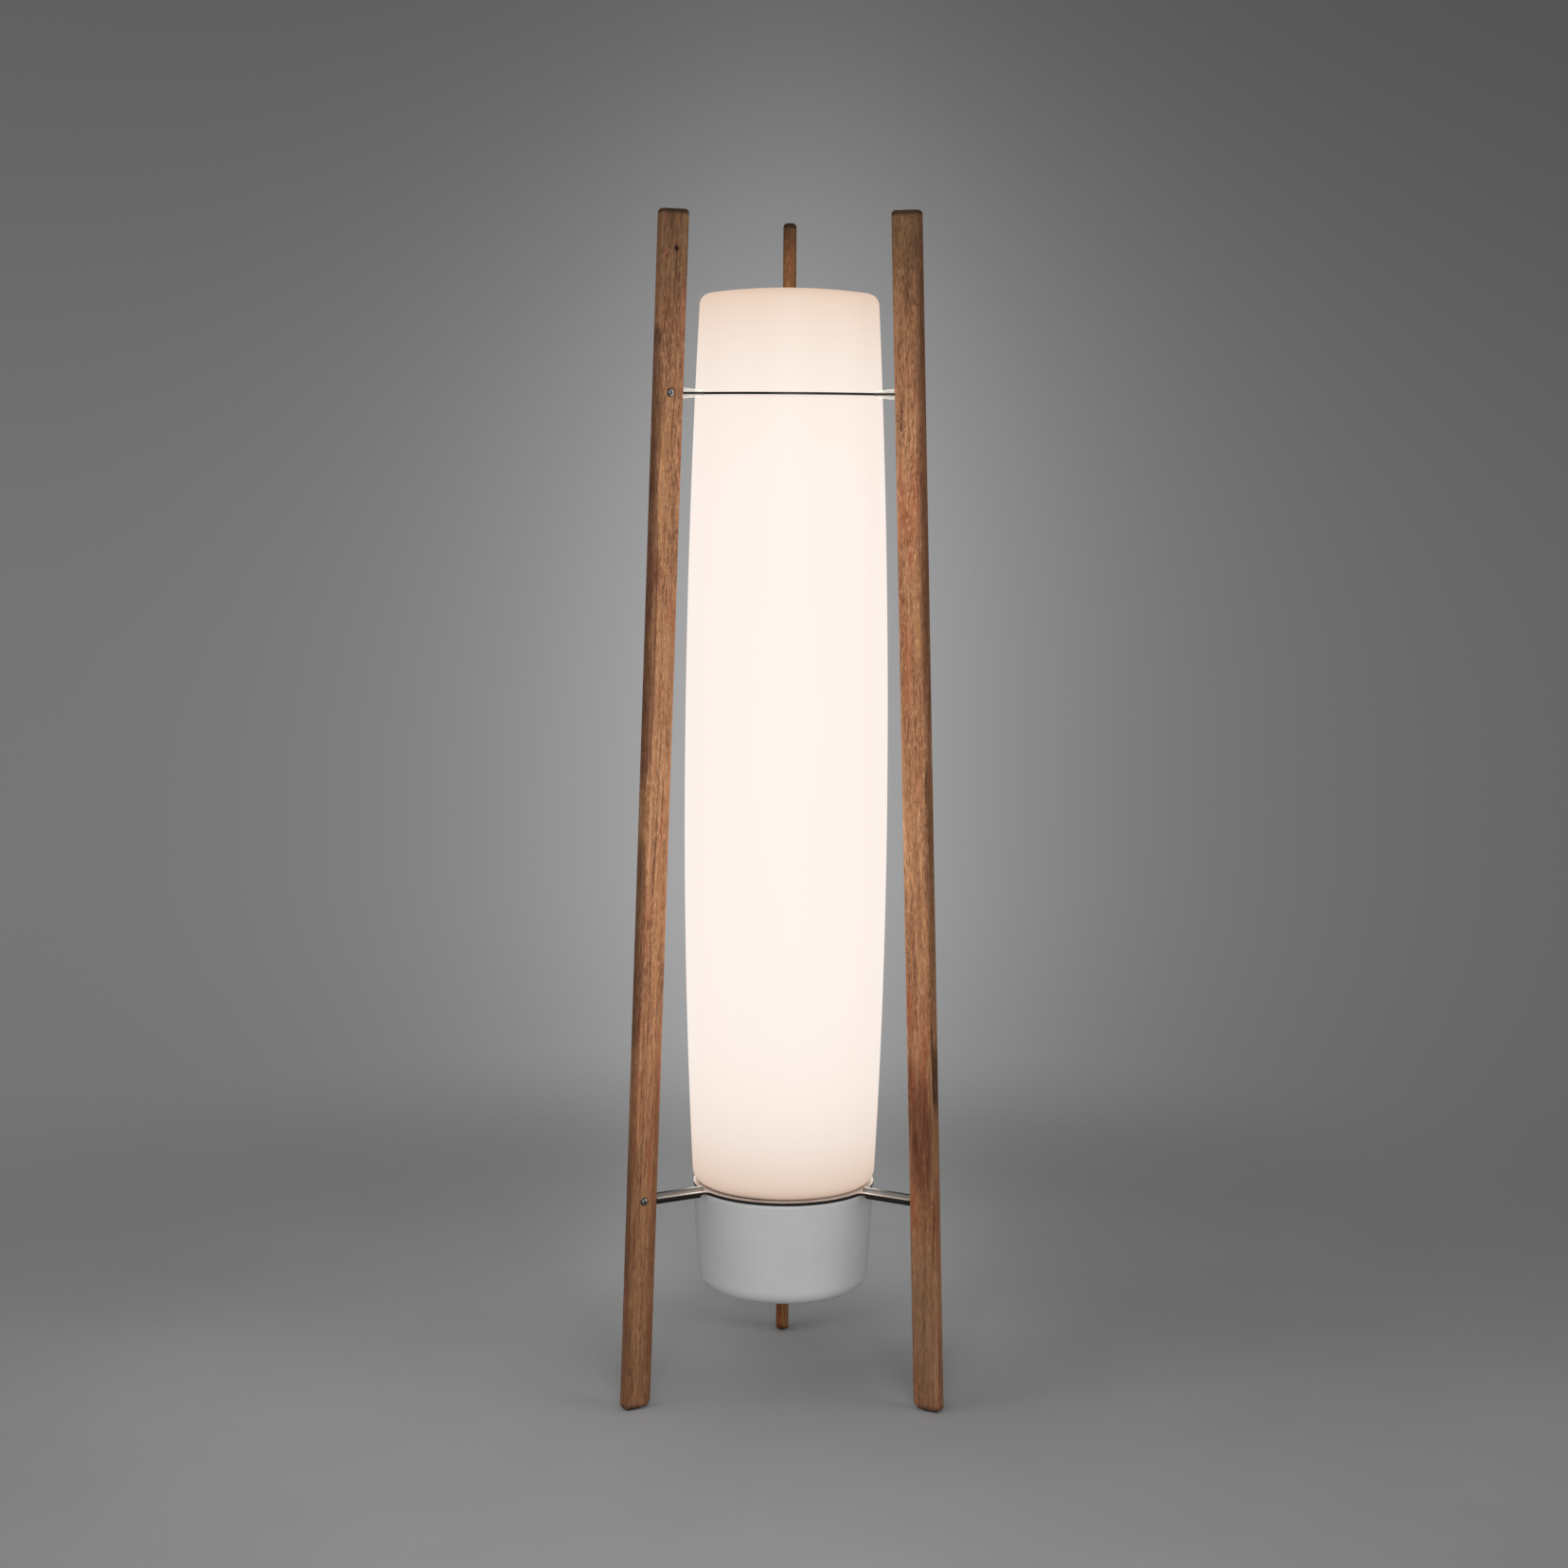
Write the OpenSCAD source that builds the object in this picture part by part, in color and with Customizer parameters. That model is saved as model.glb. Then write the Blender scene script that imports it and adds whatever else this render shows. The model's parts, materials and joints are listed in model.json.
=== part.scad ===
// Tripod lantern floor lamp. Three flat, slightly leaning legs carry two flat
// steel rings on crossed-plate arms. A tall closed barrel diffuser stands on the
// lower ring and passes through the upper one. A cup under the lower ring
// covers the light's driver and drops straight down for service.
// All heights are above the floor. Azimuth 90 is the back.

/* [Legs] */
// Height of the leg tops
leg_top_z = 1450; // [1440:5:1470]
// Width of a leg's wide face, which lies along the radius
leg_wide = 36; // [34:1:40]
// Thickness of a leg
leg_thick = 16.5; // [15.5:0.5:19]
// Rounding of the long edges
leg_edge_r = 4; // [2:0.5:5]
// Rounding of the two ends
leg_end_r = 5; // [3:0.5:6]
// Rounding of the foot's inner corner
leg_toe_r = 11; // [4:0.5:13]
// Distance of a leg's centre line from the lamp's axis, at the floor
leg_foot_r = 208.5; // [205:0.5:212]
// Inward lean of the legs, in degrees
leg_lean = 2; // [1.9:0.1:2.1]
// Thickness of the pad under each foot
glide_t = 2; // [1:0.5:3]

/* [Barrel] */
// Largest radius of the barrel outline
barrel_r = 124.6; // [122:0.2:126]
// Height of the largest radius
barrel_mid_z = 725; // [715:5:735]
// Radius of the outline's arc above that height
upper_arc_r = 11600; // [11000:100:12500]
// Radius of the outline's arc below that height
lower_arc_r = 9000; // [8600:100:9400]
// Height of the top of the diffuser's shoulder
diffuser_top_z = 1356; // [1350:1:1362]
// Radius of the diffuser's shoulder
shoulder_r = 14; // [10:1:18]
// Radius of the crowned top
crown_r = 700; // [600:50:1000]
// Radius of the diffuser's foot
foot_r = 16; // [12:1:18]
// Wall of the diffuser
diffuser_wall = 3; // [2:0.5:4]

/* [Rings and arms] */
// Thickness of both ring plates and of their tabs
ring_t = 3; // [2.5:0.5:4]
// Height of the upper ring's middle plane
upper_ring_z = 1236; // [1230:1:1242]
// Inner radius of the upper ring
upper_ring_in_r = 114.3; // [114:0.1:116]
// Outer radius of the upper ring
upper_ring_out_r = 121; // [120:0.5:124]
// Height of the lower ring's middle plane
lower_ring_z = 261; // [259:1:263]
// Inner radius of the lower ring
lower_ring_in_r = 88; // [88:0.5:89]
// Outer radius of the lower ring
lower_ring_out_r = 113; // [112.8:0.2:114]
// Width of a tab
tab_w = 16; // [14:0.5:16]
// Plan radius where a tab flares into its ring
flare_r = 9; // [6:1:12]
// Thickness of a web plate
web_t = 4; // [3:0.5:5]
// Height of an upper web at its leg
upper_web_h = 13.2; // [12:0.2:14]
// Height of an upper web at its ring
upper_web_tip_h = 6.4; // [5:0.2:8]
// Height of a lower web
lower_web_h = 13.8; // [12:0.2:14]

/* [Leg screws] */
// Thread diameter
screw_d = 5; // [4:0.5:5]
// Length under the head
screw_len = 12; // [11:0.5:12]
// Diameter of the button head
head_d = 9.5; // [8.5:0.1:10]
// Height of the button head
head_h = 2.75; // [2.4:0.05:3]
// Depth of the counterbore in the leg
counterbore = 1.2; // [0.8:0.1:1.4]

/* [Service cover] */
// Height of the cover's underside
cover_bottom_z = 129.5; // [126:0.5:134]
// Wall of the cover
cover_wall = 2.5; // [2:0.5:3]
// Radius of the cover's lower edge
cover_corner_r = 13; // [10:1:16]
// Radius of the cable inlet
inlet_r = 3.6; // [3:0.1:4.2]

/* [Light engine] */
// Radius over the corners of the six-sided mast
mast_r = 20; // [18:0.5:22]
// Wall of the mast
mast_wall = 2; // [1.5:0.25:2.5]
// Height of the mast's top
mast_top_z = 1296; // [1290:1:1300]
// Width of a light board
board_w = 12; // [10:1:16]
// Emitters on each board
emitters = 20; // [16:1:22]

/* [Hidden] */

AZ_LEFT = 210;
AZ_RIGHT = 330;
AZ_BACK = 90;
LEGS = [AZ_LEFT, AZ_RIGHT, AZ_BACK];
BETWEEN = [30, 150, 270];
CIRCLE = 96;
SMALL = 32;
eps = 0.05; // clearance of the fitted pairs
gap = 0.3;  // clearance of everything else

// The lamp's axis stands this far in front of the middle of its footprint.
foot_out = leg_foot_r + leg_wide / 2;
axis_y = -(foot_out - (foot_out * sin(30) + leg_thick / 2 * cos(30))) / 2;

// Distance of a leg's centre line, and of its inner face, from the axis at height z
function leg_r(z) = leg_foot_r - z * tan(leg_lean);
function leg_face_r(z) = leg_r(z) - leg_wide / 2 / cos(leg_lean);

// Points of an arc
function arc(cx, cz, r, a0, a1, n) =
    [for (i = [0:n]) let (a = a0 + (a1 - a0) * i / n) [cx + r * cos(a), cz + r * sin(a)]];
function reversed(v) = [for (i = [len(v) - 1:-1:0]) v[i]];

// The barrel outline, moved inwards by o
upper_cx = barrel_r - upper_arc_r;
lower_cx = barrel_r - lower_arc_r;
function lower_angle(z, o) = asin((z - barrel_mid_z) / (lower_arc_r - o));
function lower_barrel(z, o) = lower_cx + (lower_arc_r - o) * cos(lower_angle(z, o));

lower_top = lower_ring_z + ring_t / 2;
lower_under = lower_ring_z - ring_t / 2;

// Diffuser: shoulder, crown and foot centres
sh_z = diffuser_top_z - shoulder_r;
sh_a = asin((sh_z - barrel_mid_z) / (upper_arc_r - shoulder_r));
sh_r = upper_cx + (upper_arc_r - shoulder_r) * cos(sh_a);
cr_a = acos(sh_r / (crown_r - shoulder_r));
cr_z = sh_z - (crown_r - shoulder_r) * sin(cr_a);
ft_z = lower_top + foot_r;
ft_a = lower_angle(ft_z, foot_r);
ft_r = lower_barrel(ft_z, foot_r);
neck_out = lower_ring_in_r - 0.5;
neck_in = neck_out - diffuser_wall;

function diffuser_side(o) = concat(
    arc(ft_r, ft_z, foot_r - o, -90, ft_a, 10),
    [for (i = [1:24]) let (a = ft_a * (1 - i / 24))
        [lower_cx + (lower_arc_r - o) * cos(a), barrel_mid_z + (lower_arc_r - o) * sin(a)]],
    [for (i = [1:32]) let (a = sh_a * i / 32)
        [upper_cx + (upper_arc_r - o) * cos(a), barrel_mid_z + (upper_arc_r - o) * sin(a)]],
    [for (i = [1:12]) let (a = sh_a + (cr_a - sh_a) * i / 12)
        [sh_r + (shoulder_r - o) * cos(a), sh_z + (shoulder_r - o) * sin(a)]],
    [for (i = [1:5]) let (a = cr_a + (90 - cr_a) * i / 6)
        [(crown_r - o) * cos(a), cr_z + (crown_r - o) * sin(a)]],
    [[0, cr_z + crown_r - o]]);

// Gear plate and what hangs from it
gasket_t = 2;
plate_t = 2;
plate_top = lower_under - gasket_t;
plate_under = plate_top - plate_t;
plate_r = 104;
stud_pcd_r = 98;
stud_r = 2.5;
lead_x = 0;
lead_y = -6;
clip_at_r = 88;
clip_t = 1.2;
driver_size = [104, 56, 30];
driver_y = 34;
driver_hole_x = 57.5;
terminal_size = [32, 22, 18];
terminal_at = [-30, -42];
earth_at = [36, -40];
foot_t = 4;
foot_flange_r = 38;
foot_screw_r = 31;
mast_z = plate_top + foot_t;
mast_in_r = mast_r - mast_wall / cos(30);
face_r = mast_r * cos(30);
board_t = 1.5;
board_z = 292;
board_len = 980;
board_screw_z = [for (i = [0:3]) board_z + 18 + i * (board_len - 36) / 3];

// Service cover
rim_z = lower_under - gap - 1;
cc_z = cover_bottom_z + cover_corner_r;
cc_a = lower_angle(cc_z, cover_corner_r);
cc_r = lower_barrel(cc_z, cover_corner_r);
bush_r = 6;
bush_flange_r = 10;
bush_flange_t = 3;
bush_top = cover_bottom_z + 14.5;
function cover_side(o) = concat(
    arc(cc_r, cc_z, cover_corner_r - o, -90, cc_a, 10),
    [for (i = [1:8]) let (a1 = lower_angle(rim_z, o), a = cc_a + (a1 - cc_a) * i / 8)
        [lower_cx + (lower_arc_r - o) * cos(a), barrel_mid_z + (lower_arc_r - o) * sin(a)]]);

WOOD = "#8a6044";
STEEL = "#8e8f92";
OPAL = "#fdf2e4";
CUP = "#c9c7c5";

// Everything stands on the lamp's axis.
module on_axis() { translate([0, axis_y, 0]) children(); }
// Places a child at azimuth a, with +X outwards and +Y along the turn.
module at(a) { rotate([0, 0, a]) children(); }

// Rectangle with round corners, centred
module rounded(x, y, r) {
    square([x - 2 * r, y], center = true);
    square([x, y - 2 * r], center = true);
    for (i = [-1, 1], j = [-1, 1])
        translate([i * (x / 2 - r), j * (y / 2 - r)]) circle(r = r, $fn = SMALL);
}

// ---- legs ----

// One corner of a bar's outline, rounded in steps, from the side to the flat end
function corner(cx, cz, r, sx, sz) = let (k = r / cos(11.25)) concat(
    [for (i = [0:3]) [cx + sx * k * cos(22.5 * i), cz + sz * k * sin(22.5 * i)]],
    [[cx + sx * r * tan(5.625), cz + sz * r]]);

// Outline of an upright bar between z0 and z1. Its middle stands at m0 and m1 there, and it is 2 w wide.
function bar_side(m0, m1, w, z0, z1, top_r, out_r, in_r) = let (t = (m1 - m0) / (z1 - z0)) concat(
    corner(m1 - top_r * t + w - top_r, z1 - top_r, top_r, 1, 1),
    reversed(corner(m1 - top_r * t - w + top_r, z1 - top_r, top_r, -1, 1)),
    corner(m0 + in_r * t - w + in_r, z0 + in_r, in_r, -1, -1),
    reversed(corner(m0 + out_r * t + w - out_r, z0 + out_r, out_r, 1, -1)));

// A leg without its pockets, at azimuth 0: a leaning bar with level, rounded ends
module leg_blank() {
    intersection() {
        translate([leg_foot_r, 0, 0]) rotate([0, -leg_lean, 0])
            translate([0, 0, -5]) linear_extrude(leg_top_z + 15) rounded(leg_wide, leg_thick, leg_edge_r);
        translate([0, leg_thick, 0]) rotate([90, 0, 0]) linear_extrude(2 * leg_thick)
            polygon(bar_side(leg_r(glide_t), leg_r(leg_top_z), leg_wide / 2 / cos(leg_lean),
                glide_t, leg_top_z, leg_end_r, leg_end_r, leg_toe_r));
        rotate([90, 0, 90]) linear_extrude(leg_foot_r + leg_wide)
            polygon(bar_side(0, 0, leg_thick / 2, glide_t, leg_top_z, leg_end_r + 0.5, leg_end_r - 1, leg_end_r - 1));
    }
}

// The pocket for one arm's tongue and its screw, at ring height z
module arm_pocket(z, h) {
    face = leg_face_r(z);
    translate([face - 2, -web_t / 2 - 0.15, z - h / 2 - 0.15])
        cube([leg_r(z) + 7 - face + 2, web_t + 0.3, h + 0.3]);
    translate([leg_r(z), 0, z]) rotate([-90, 0, 0]) {
        translate([0, 0, leg_thick / 2 - counterbore]) cylinder(r = head_d / 2 + 0.35, h = 5, $fn = SMALL);
        translate([0, 0, leg_thick / 2 - counterbore - screw_len - 0.5])
            cylinder(r = screw_d / 2 + 0.15, h = screw_len + 5, $fn = SMALL);
    }
}

module leg(a) {
    on_axis() at(a) difference() {
        leg_blank();
        arm_pocket(upper_ring_z, upper_web_h);
        arm_pocket(lower_ring_z, lower_web_h);
    }
}

module leg_left() { color(WOOD) leg(AZ_LEFT); }
module leg_right() { color(WOOD) leg(AZ_RIGHT); }
module leg_back() { color(WOOD) leg(AZ_BACK); }

module foot_glides() {
    color("#3a3632") on_axis() for (a = LEGS) at(a)
        translate([leg_foot_r + (leg_toe_r - leg_end_r) / 2, 0, 0]) linear_extrude(glide_t)
            rounded(leg_wide - leg_end_r - leg_toe_r - 2, leg_thick - 2 * leg_end_r + 1, 2);
}

// ---- rings and arms ----

// Flat tab of a ring: a strip from the ring to radius r1, flared into the ring
module tab(r_out, r1) {
    cx = sqrt(pow(r_out + flare_r, 2) - pow(tab_w / 2 + flare_r, 2));
    k = r_out / (r_out + flare_r);
    translate([r_out - 3, -tab_w / 2]) square([r1 - r_out + 3, tab_w]);
    for (s = [-1, 1]) difference() {
        polygon([[r_out - 2, 0], [cx, 0], [cx, s * (tab_w / 2 + flare_r)],
                 [cx * k, s * (tab_w / 2 + flare_r) * k]]);
        translate([cx, s * (tab_w / 2 + flare_r)]) circle(r = flare_r, $fn = 48);
    }
}

// Ring plate with three tabs. Each tab is slotted from lap_r outwards for its web.
module ring_plate(z, r_in, r_out, lap_r) {
    tab_end = leg_face_r(z) - gap;
    translate([0, 0, z - ring_t / 2]) linear_extrude(ring_t) difference() {
        union() {
            circle(r = r_out, $fn = CIRCLE);
            for (a = LEGS) at(a) tab(r_out, tab_end);
        }
        circle(r = r_in, $fn = CIRCLE);
        for (a = LEGS) at(a) translate([lap_r, -web_t / 2 - eps]) square([80, web_t + 2 * eps]);
    }
}

upper_lap = upper_ring_out_r + 13;
lower_lap = lower_ring_out_r + 34;
upper_web_r = upper_ring_out_r - 3;
lower_web_r = lower_ring_out_r + 1.2;

module upper_ring() {
    color(STEEL) on_axis() ring_plate(upper_ring_z, upper_ring_in_r, upper_ring_out_r, upper_lap);
}

// The lower ring also carries the welded studs for the gear plate.
module lower_ring() {
    color(STEEL) on_axis() {
        union() {
            ring_plate(lower_ring_z, lower_ring_in_r, lower_ring_out_r, lower_lap);
            for (a = BETWEEN) at(a) translate([stud_pcd_r, 0, lower_under - 11])
                cylinder(r = stud_r, h = 11 + ring_t / 2, $fn = SMALL);
        }
    }
}

// Upright plate across a tab: slotted from its inner end, drilled in its tongue
module web(z, outline, lap_r) {
    tip = leg_r(z) + 6.5;
    difference() {
        translate([0, web_t / 2, z]) rotate([90, 0, 0]) linear_extrude(web_t) difference() {
            polygon(outline);
            translate([lap_r - 100, -ring_t / 2 - eps]) square([100, ring_t + 2 * eps]);
        }
        translate([leg_r(z), -10, z]) rotate([-90, 0, 0]) cylinder(r = screw_d / 2 + 0.02, h = 20, $fn = SMALL);
    }
}

module upper_web() {
    f = leg_face_r(upper_ring_z);
    tip = leg_r(upper_ring_z) + 6.5;
    h = upper_web_h / 2;
    t = upper_web_tip_h / 2;
    web(upper_ring_z, [[upper_web_r, -t + 1], [upper_web_r + 1, -t], [f, -h], [tip - 1, -h], [tip, -h + 1],
        [tip, h - 1], [tip - 1, h], [f, h], [upper_web_r + 1, t], [upper_web_r, t - 1]], upper_lap);
}

module lower_web() {
    tip = leg_r(lower_ring_z) + 6.5;
    h = lower_web_h / 2;
    web(lower_ring_z, [[lower_web_r, -h + 5.2], [lower_web_r + 5.2, -h], [tip - 1, -h], [tip, -h + 1],
        [tip, h - 1], [tip - 1, h], [lower_web_r + 1, h], [lower_web_r, h - 1]], lower_lap);
}

module upper_web_left() { color(STEEL) on_axis() at(AZ_LEFT) upper_web(); }
module upper_web_right() { color(STEEL) on_axis() at(AZ_RIGHT) upper_web(); }
module upper_web_back() { color(STEEL) on_axis() at(AZ_BACK) upper_web(); }
module lower_web_left() { color(STEEL) on_axis() at(AZ_LEFT) lower_web(); }
module lower_web_right() { color(STEEL) on_axis() at(AZ_RIGHT) lower_web(); }
module lower_web_back() { color(STEEL) on_axis() at(AZ_BACK) lower_web(); }

// Button head screw with a six-sided socket. The head sits on z = 0, the shank hangs below.
module button_screw() {
    difference() {
        union() {
            intersection() {
                cylinder(r = head_d / 2, h = head_h, $fn = 48);
                translate([0, 0, -2.05]) sphere(r = head_d / 2 + 0.57, $fn = 64);
            }
            translate([0, 0, -screw_len]) cylinder(r = screw_d / 2, h = screw_len, $fn = SMALL);
        }
        translate([0, 0, head_h - 1.6]) cylinder(r = 1.75, h = 3, $fn = 6);
    }
}

module leg_screws(z) {
    for (a = LEGS) at(a)
        translate([leg_r(z), leg_thick / 2 - counterbore, z]) rotate([-90, 0, 0]) button_screw();
}

module upper_leg_screws() { color("#55565a") on_axis() leg_screws(upper_ring_z); }
module lower_leg_screws() { color("#55565a") on_axis() leg_screws(lower_ring_z); }

// ---- diffuser ----

// Closed barrel with a short neck that drops through the lower ring
module diffuser() {
    color(OPAL) on_axis() rotate_extrude($fn = CIRCLE) polygon(concat(
        [[neck_in, lower_under], [neck_out, lower_under], [neck_out, lower_top]],
        diffuser_side(0), reversed(diffuser_side(diffuser_wall)),
        [[neck_in, lower_top + diffuser_wall]]));
}

module diffuser_gasket() {
    color("#2b2b2b") on_axis() difference() {
        translate([0, 0, plate_top]) cylinder(r = plate_r, h = gasket_t, $fn = CIRCLE);
        translate([0, 0, plate_top - 1]) cylinder(r = neck_in - 4, h = gasket_t + 2, $fn = CIRCLE);
        for (a = BETWEEN) at(a) translate([stud_pcd_r, 0, plate_top - 1])
            cylinder(r = stud_r + 0.4, h = gasket_t + 2, $fn = SMALL);
    }
}

// ---- gear plate, mast and light boards ----

module plate_hole(x, y, r) {
    translate([x, y, plate_under - 1]) cylinder(r = r, h = plate_t + 2, $fn = SMALL);
}

module gear_plate() {
    color("#b9babd") on_axis() difference() {
        translate([0, 0, plate_under]) cylinder(r = plate_r, h = plate_t, $fn = CIRCLE);
        for (a = BETWEEN) at(a) {
            plate_hole(stud_pcd_r, 0, stud_r + 0.3);
            plate_hole(foot_screw_r, 0, 2.02);
        }
        for (a = LEGS) at(a) plate_hole(clip_at_r, 0, 2.02);
        for (s = [-1, 1]) plate_hole(s * driver_hole_x, driver_y, 2.02);
        plate_hole(earth_at[0], earth_at[1], 2.02);
        plate_hole(lead_x, lead_y, 4.5);
    }
}

module plate_washers() {
    color("#a5a7aa") on_axis() for (a = BETWEEN) at(a) translate([stud_pcd_r, 0, plate_under - 1]) difference() {
        cylinder(r = 5, h = 1, $fn = SMALL);
        translate([0, 0, -1]) cylinder(r = stud_r + 0.15, h = 3, $fn = SMALL);
    }
}

module plate_nuts() {
    color("#8f9296") on_axis() for (a = BETWEEN) at(a) translate([stud_pcd_r, 0, plate_under - 5]) difference() {
        cylinder(r = 4 / cos(30), h = 4, $fn = 6);
        translate([0, 0, -1]) cylinder(r = stud_r + 0.02, h = 6, $fn = SMALL);
    }
}

// Pan head screw. The head sits on z = 0 and points to +Z.
module pan_screw(r, len, head_r, head) {
    difference() {
        union() {
            cylinder(r = head_r, h = head, $fn = SMALL);
            translate([0, 0, -len]) cylinder(r = r, h = len, $fn = SMALL);
        }
        translate([-head_r * 0.6, -0.35, head * 0.5]) cube([head_r * 1.2, 0.7, head]);
        translate([-0.35, -head_r * 0.6, head * 0.5]) cube([0.7, head_r * 1.2, head]);
    }
}

module mast_foot() {
    color("#9a9c9f") on_axis() difference() {
        union() {
            translate([0, 0, plate_top]) cylinder(r = foot_flange_r, h = foot_t, $fn = 64);
            translate([0, 0, plate_top]) cylinder(r = mast_r + 5, h = 28, $fn = 64);
        }
        translate([0, 0, mast_z]) cylinder(r = mast_r + eps / cos(30), h = 60, $fn = 6);
        translate([lead_x, lead_y, plate_top - 1]) cylinder(r = 4.5, h = 10, $fn = SMALL);
        for (a = BETWEEN) at(a) translate([foot_screw_r, 0, plate_top - 1])
            cylinder(r = 2.2, h = 10, $fn = SMALL);
    }
}

module mast_screws() {
    color("#8f9296") on_axis() for (a = BETWEEN) at(a) translate([foot_screw_r, 0, mast_z])
        pan_screw(2, foot_t + plate_t - 0.1, 3.6, 2.6);
}

module mast() {
    color("#c3c5c8") on_axis() difference() {
        translate([0, 0, mast_z]) cylinder(r = mast_r, h = mast_top_z - mast_z, $fn = 6);
        translate([0, 0, mast_z - 1]) cylinder(r = mast_in_r, h = mast_top_z - mast_z + 2, $fn = 6);
        for (a = BETWEEN, z = board_screw_z) at(a) translate([face_r - mast_wall - 1, 0, z])
            rotate([0, 90, 0]) cylinder(r = 1.27, h = mast_wall + 2, $fn = SMALL);
    }
}

module mast_cap() {
    color("#d8d8d6") on_axis() {
        union() {
            translate([0, 0, mast_top_z]) cylinder(r = mast_r + 3, h = 3, $fn = 48);
            translate([0, 0, mast_top_z - 12]) cylinder(r = mast_in_r - 0.1, h = 13, $fn = 6);
        }
    }
}

// Clear three-armed plate that keeps the mast's top in the middle of the diffuser
module centring_star() {
    color("#e9eef0") on_axis() difference() {
        translate([0, 0, mast_top_z - 4]) linear_extrude(4) {
            circle(r = mast_r + 6, $fn = 48);
            for (a = BETWEEN) at(a) {
                translate([0, -5]) square([102, 10]);
                translate([102, 0]) circle(r = 5, $fn = SMALL);
            }
        }
        translate([0, 0, mast_top_z - 6]) cylinder(r = mast_r + eps / cos(30), h = 8, $fn = 6);
    }
}

module led_board(a) {
    color("#f1f1ec") on_axis() at(a) difference() {
        translate([face_r + eps, -board_w / 2, board_z]) cube([board_t, board_w, board_len]);
        for (z = board_screw_z) translate([face_r - 1, 0, z])
            rotate([0, 90, 0]) cylinder(r = 1.35, h = board_t + 2, $fn = SMALL);
    }
}

module led_board_left() { led_board(BETWEEN[1]); }
module led_board_right() { led_board(BETWEEN[0]); }
module led_board_front() { led_board(BETWEEN[2]); }

module led_emitters() {
    color("#f4e27a") on_axis() for (a = BETWEEN) at(a) for (i = [0:emitters - 1])
        translate([face_r + eps + board_t, -1.75, board_z + 30 + i * (board_len - 60) / (emitters - 1) - 1.4])
            cube([0.7, 3.5, 2.8]);
}

module board_screws() {
    color("#8f9296") on_axis() for (a = BETWEEN, z = board_screw_z) at(a)
        translate([face_r + eps + board_t, 0, z]) rotate([0, 90, 0]) pan_screw(1.25, board_t + mast_wall, 2.6, 1.6);
}

// ---- driver and wiring under the gear plate ----

module driver() {
    color("#dcdcda") on_axis() translate([0, driver_y, plate_under]) difference() {
        union() {
            translate([0, 0, -driver_size[2]]) linear_extrude(driver_size[2])
                rounded(driver_size[0], driver_size[1], 4);
            translate([0, 0, -3]) linear_extrude(3) rounded(2 * driver_hole_x + 12, 20, 4);
        }
        for (s = [-1, 1]) translate([s * driver_hole_x, 0, -4]) cylinder(r = 2.2, h = 5, $fn = SMALL);
        // lead outlet
        translate([lead_x, -driver_size[1] / 2 - 1, -15]) rotate([-90, 0, 0]) cylinder(r = 2.55, h = 9, $fn = SMALL);
        // shallow vents along both sides of the underside
        for (s = [-1, 1], i = [-4:4]) translate([i * 9 - 1.5, s * 17 - 5, -driver_size[2] - 1]) cube([3, 10, 2.2]);
    }
}

module driver_screws() {
    color("#8f9296") on_axis() for (s = [-1, 1])
        translate([s * driver_hole_x, driver_y, plate_under - 3]) rotate([180, 0, 0]) pan_screw(2, 4.8, 3.6, 2.6);
}

module terminal_block() {
    color("#e4e2dc") on_axis() translate([terminal_at[0], terminal_at[1], plate_under - terminal_size[2]]) difference() {
        translate([-terminal_size[0] / 2, -terminal_size[1] / 2, 0]) cube(terminal_size);
        for (i = [-1:1]) translate([i * 10, 0, 0]) {
            translate([0, -5, -1]) cylinder(r = 2.45, h = 6, $fn = SMALL);
            translate([0, -terminal_size[1] / 2 - 1, 10]) rotate([-90, 0, 0])
                cylinder(r = 2, h = terminal_size[1] + 2, $fn = SMALL);
        }
        for (i = [-0.5, 0.5]) translate([i * 10 - 0.6, -terminal_size[1], -1]) cube([1.2, 2 * terminal_size[1], 4]);
    }
}

module terminal_screws() {
    color("#c9a44c") on_axis() for (i = [-1:1])
        translate([terminal_at[0] + i * 10, terminal_at[1] - 5, plate_under - terminal_size[2] + 1]) difference() {
            cylinder(r = 2.4, h = 4, $fn = SMALL);
            translate([-3, -0.35, -1]) cube([6, 0.7, 2]);
        }
}

module earth_screw() {
    color("#c9a44c") on_axis() translate([earth_at[0], earth_at[1], plate_under]) rotate([180, 0, 0])
        pan_screw(2, 1.8, 4, 3);
}

module lead_grommet() {
    color("#26262a") on_axis() translate([lead_x, lead_y, 0]) difference() {
        union() {
            translate([0, 0, plate_under - 1.6]) cylinder(r = 5.8, h = 1.6, $fn = SMALL);
            translate([0, 0, plate_under - 1]) cylinder(r = 4.4, h = plate_t + foot_t + 1, $fn = SMALL);
        }
        translate([0, 0, plate_under - 3]) cylinder(r = 2.55, h = 12, $fn = SMALL);
    }
}

// Lead from the driver's side, round one bend, up through the plate into the mast
module led_lead() {
    bend = 7;
    y_out = driver_y - driver_size[1] / 2;
    z = plate_under - 15;
    color("#e8e6e2") on_axis() union() {
        translate([lead_x, lead_y + bend, z]) rotate([-90, 0, 0])
            cylinder(r = 2.5, h = y_out - lead_y - bend + 6, $fn = SMALL);
        translate([lead_x, lead_y + bend, z + bend]) rotate([0, 90, 0]) rotate([0, 0, 270]) rotate_extrude(angle = 90, $fn = 64)
            translate([bend, 0]) circle(r = 2.5, $fn = SMALL);
        translate([lead_x, lead_y, z + bend]) cylinder(r = 2.5, h = 50, $fn = SMALL);
    }
}

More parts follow.
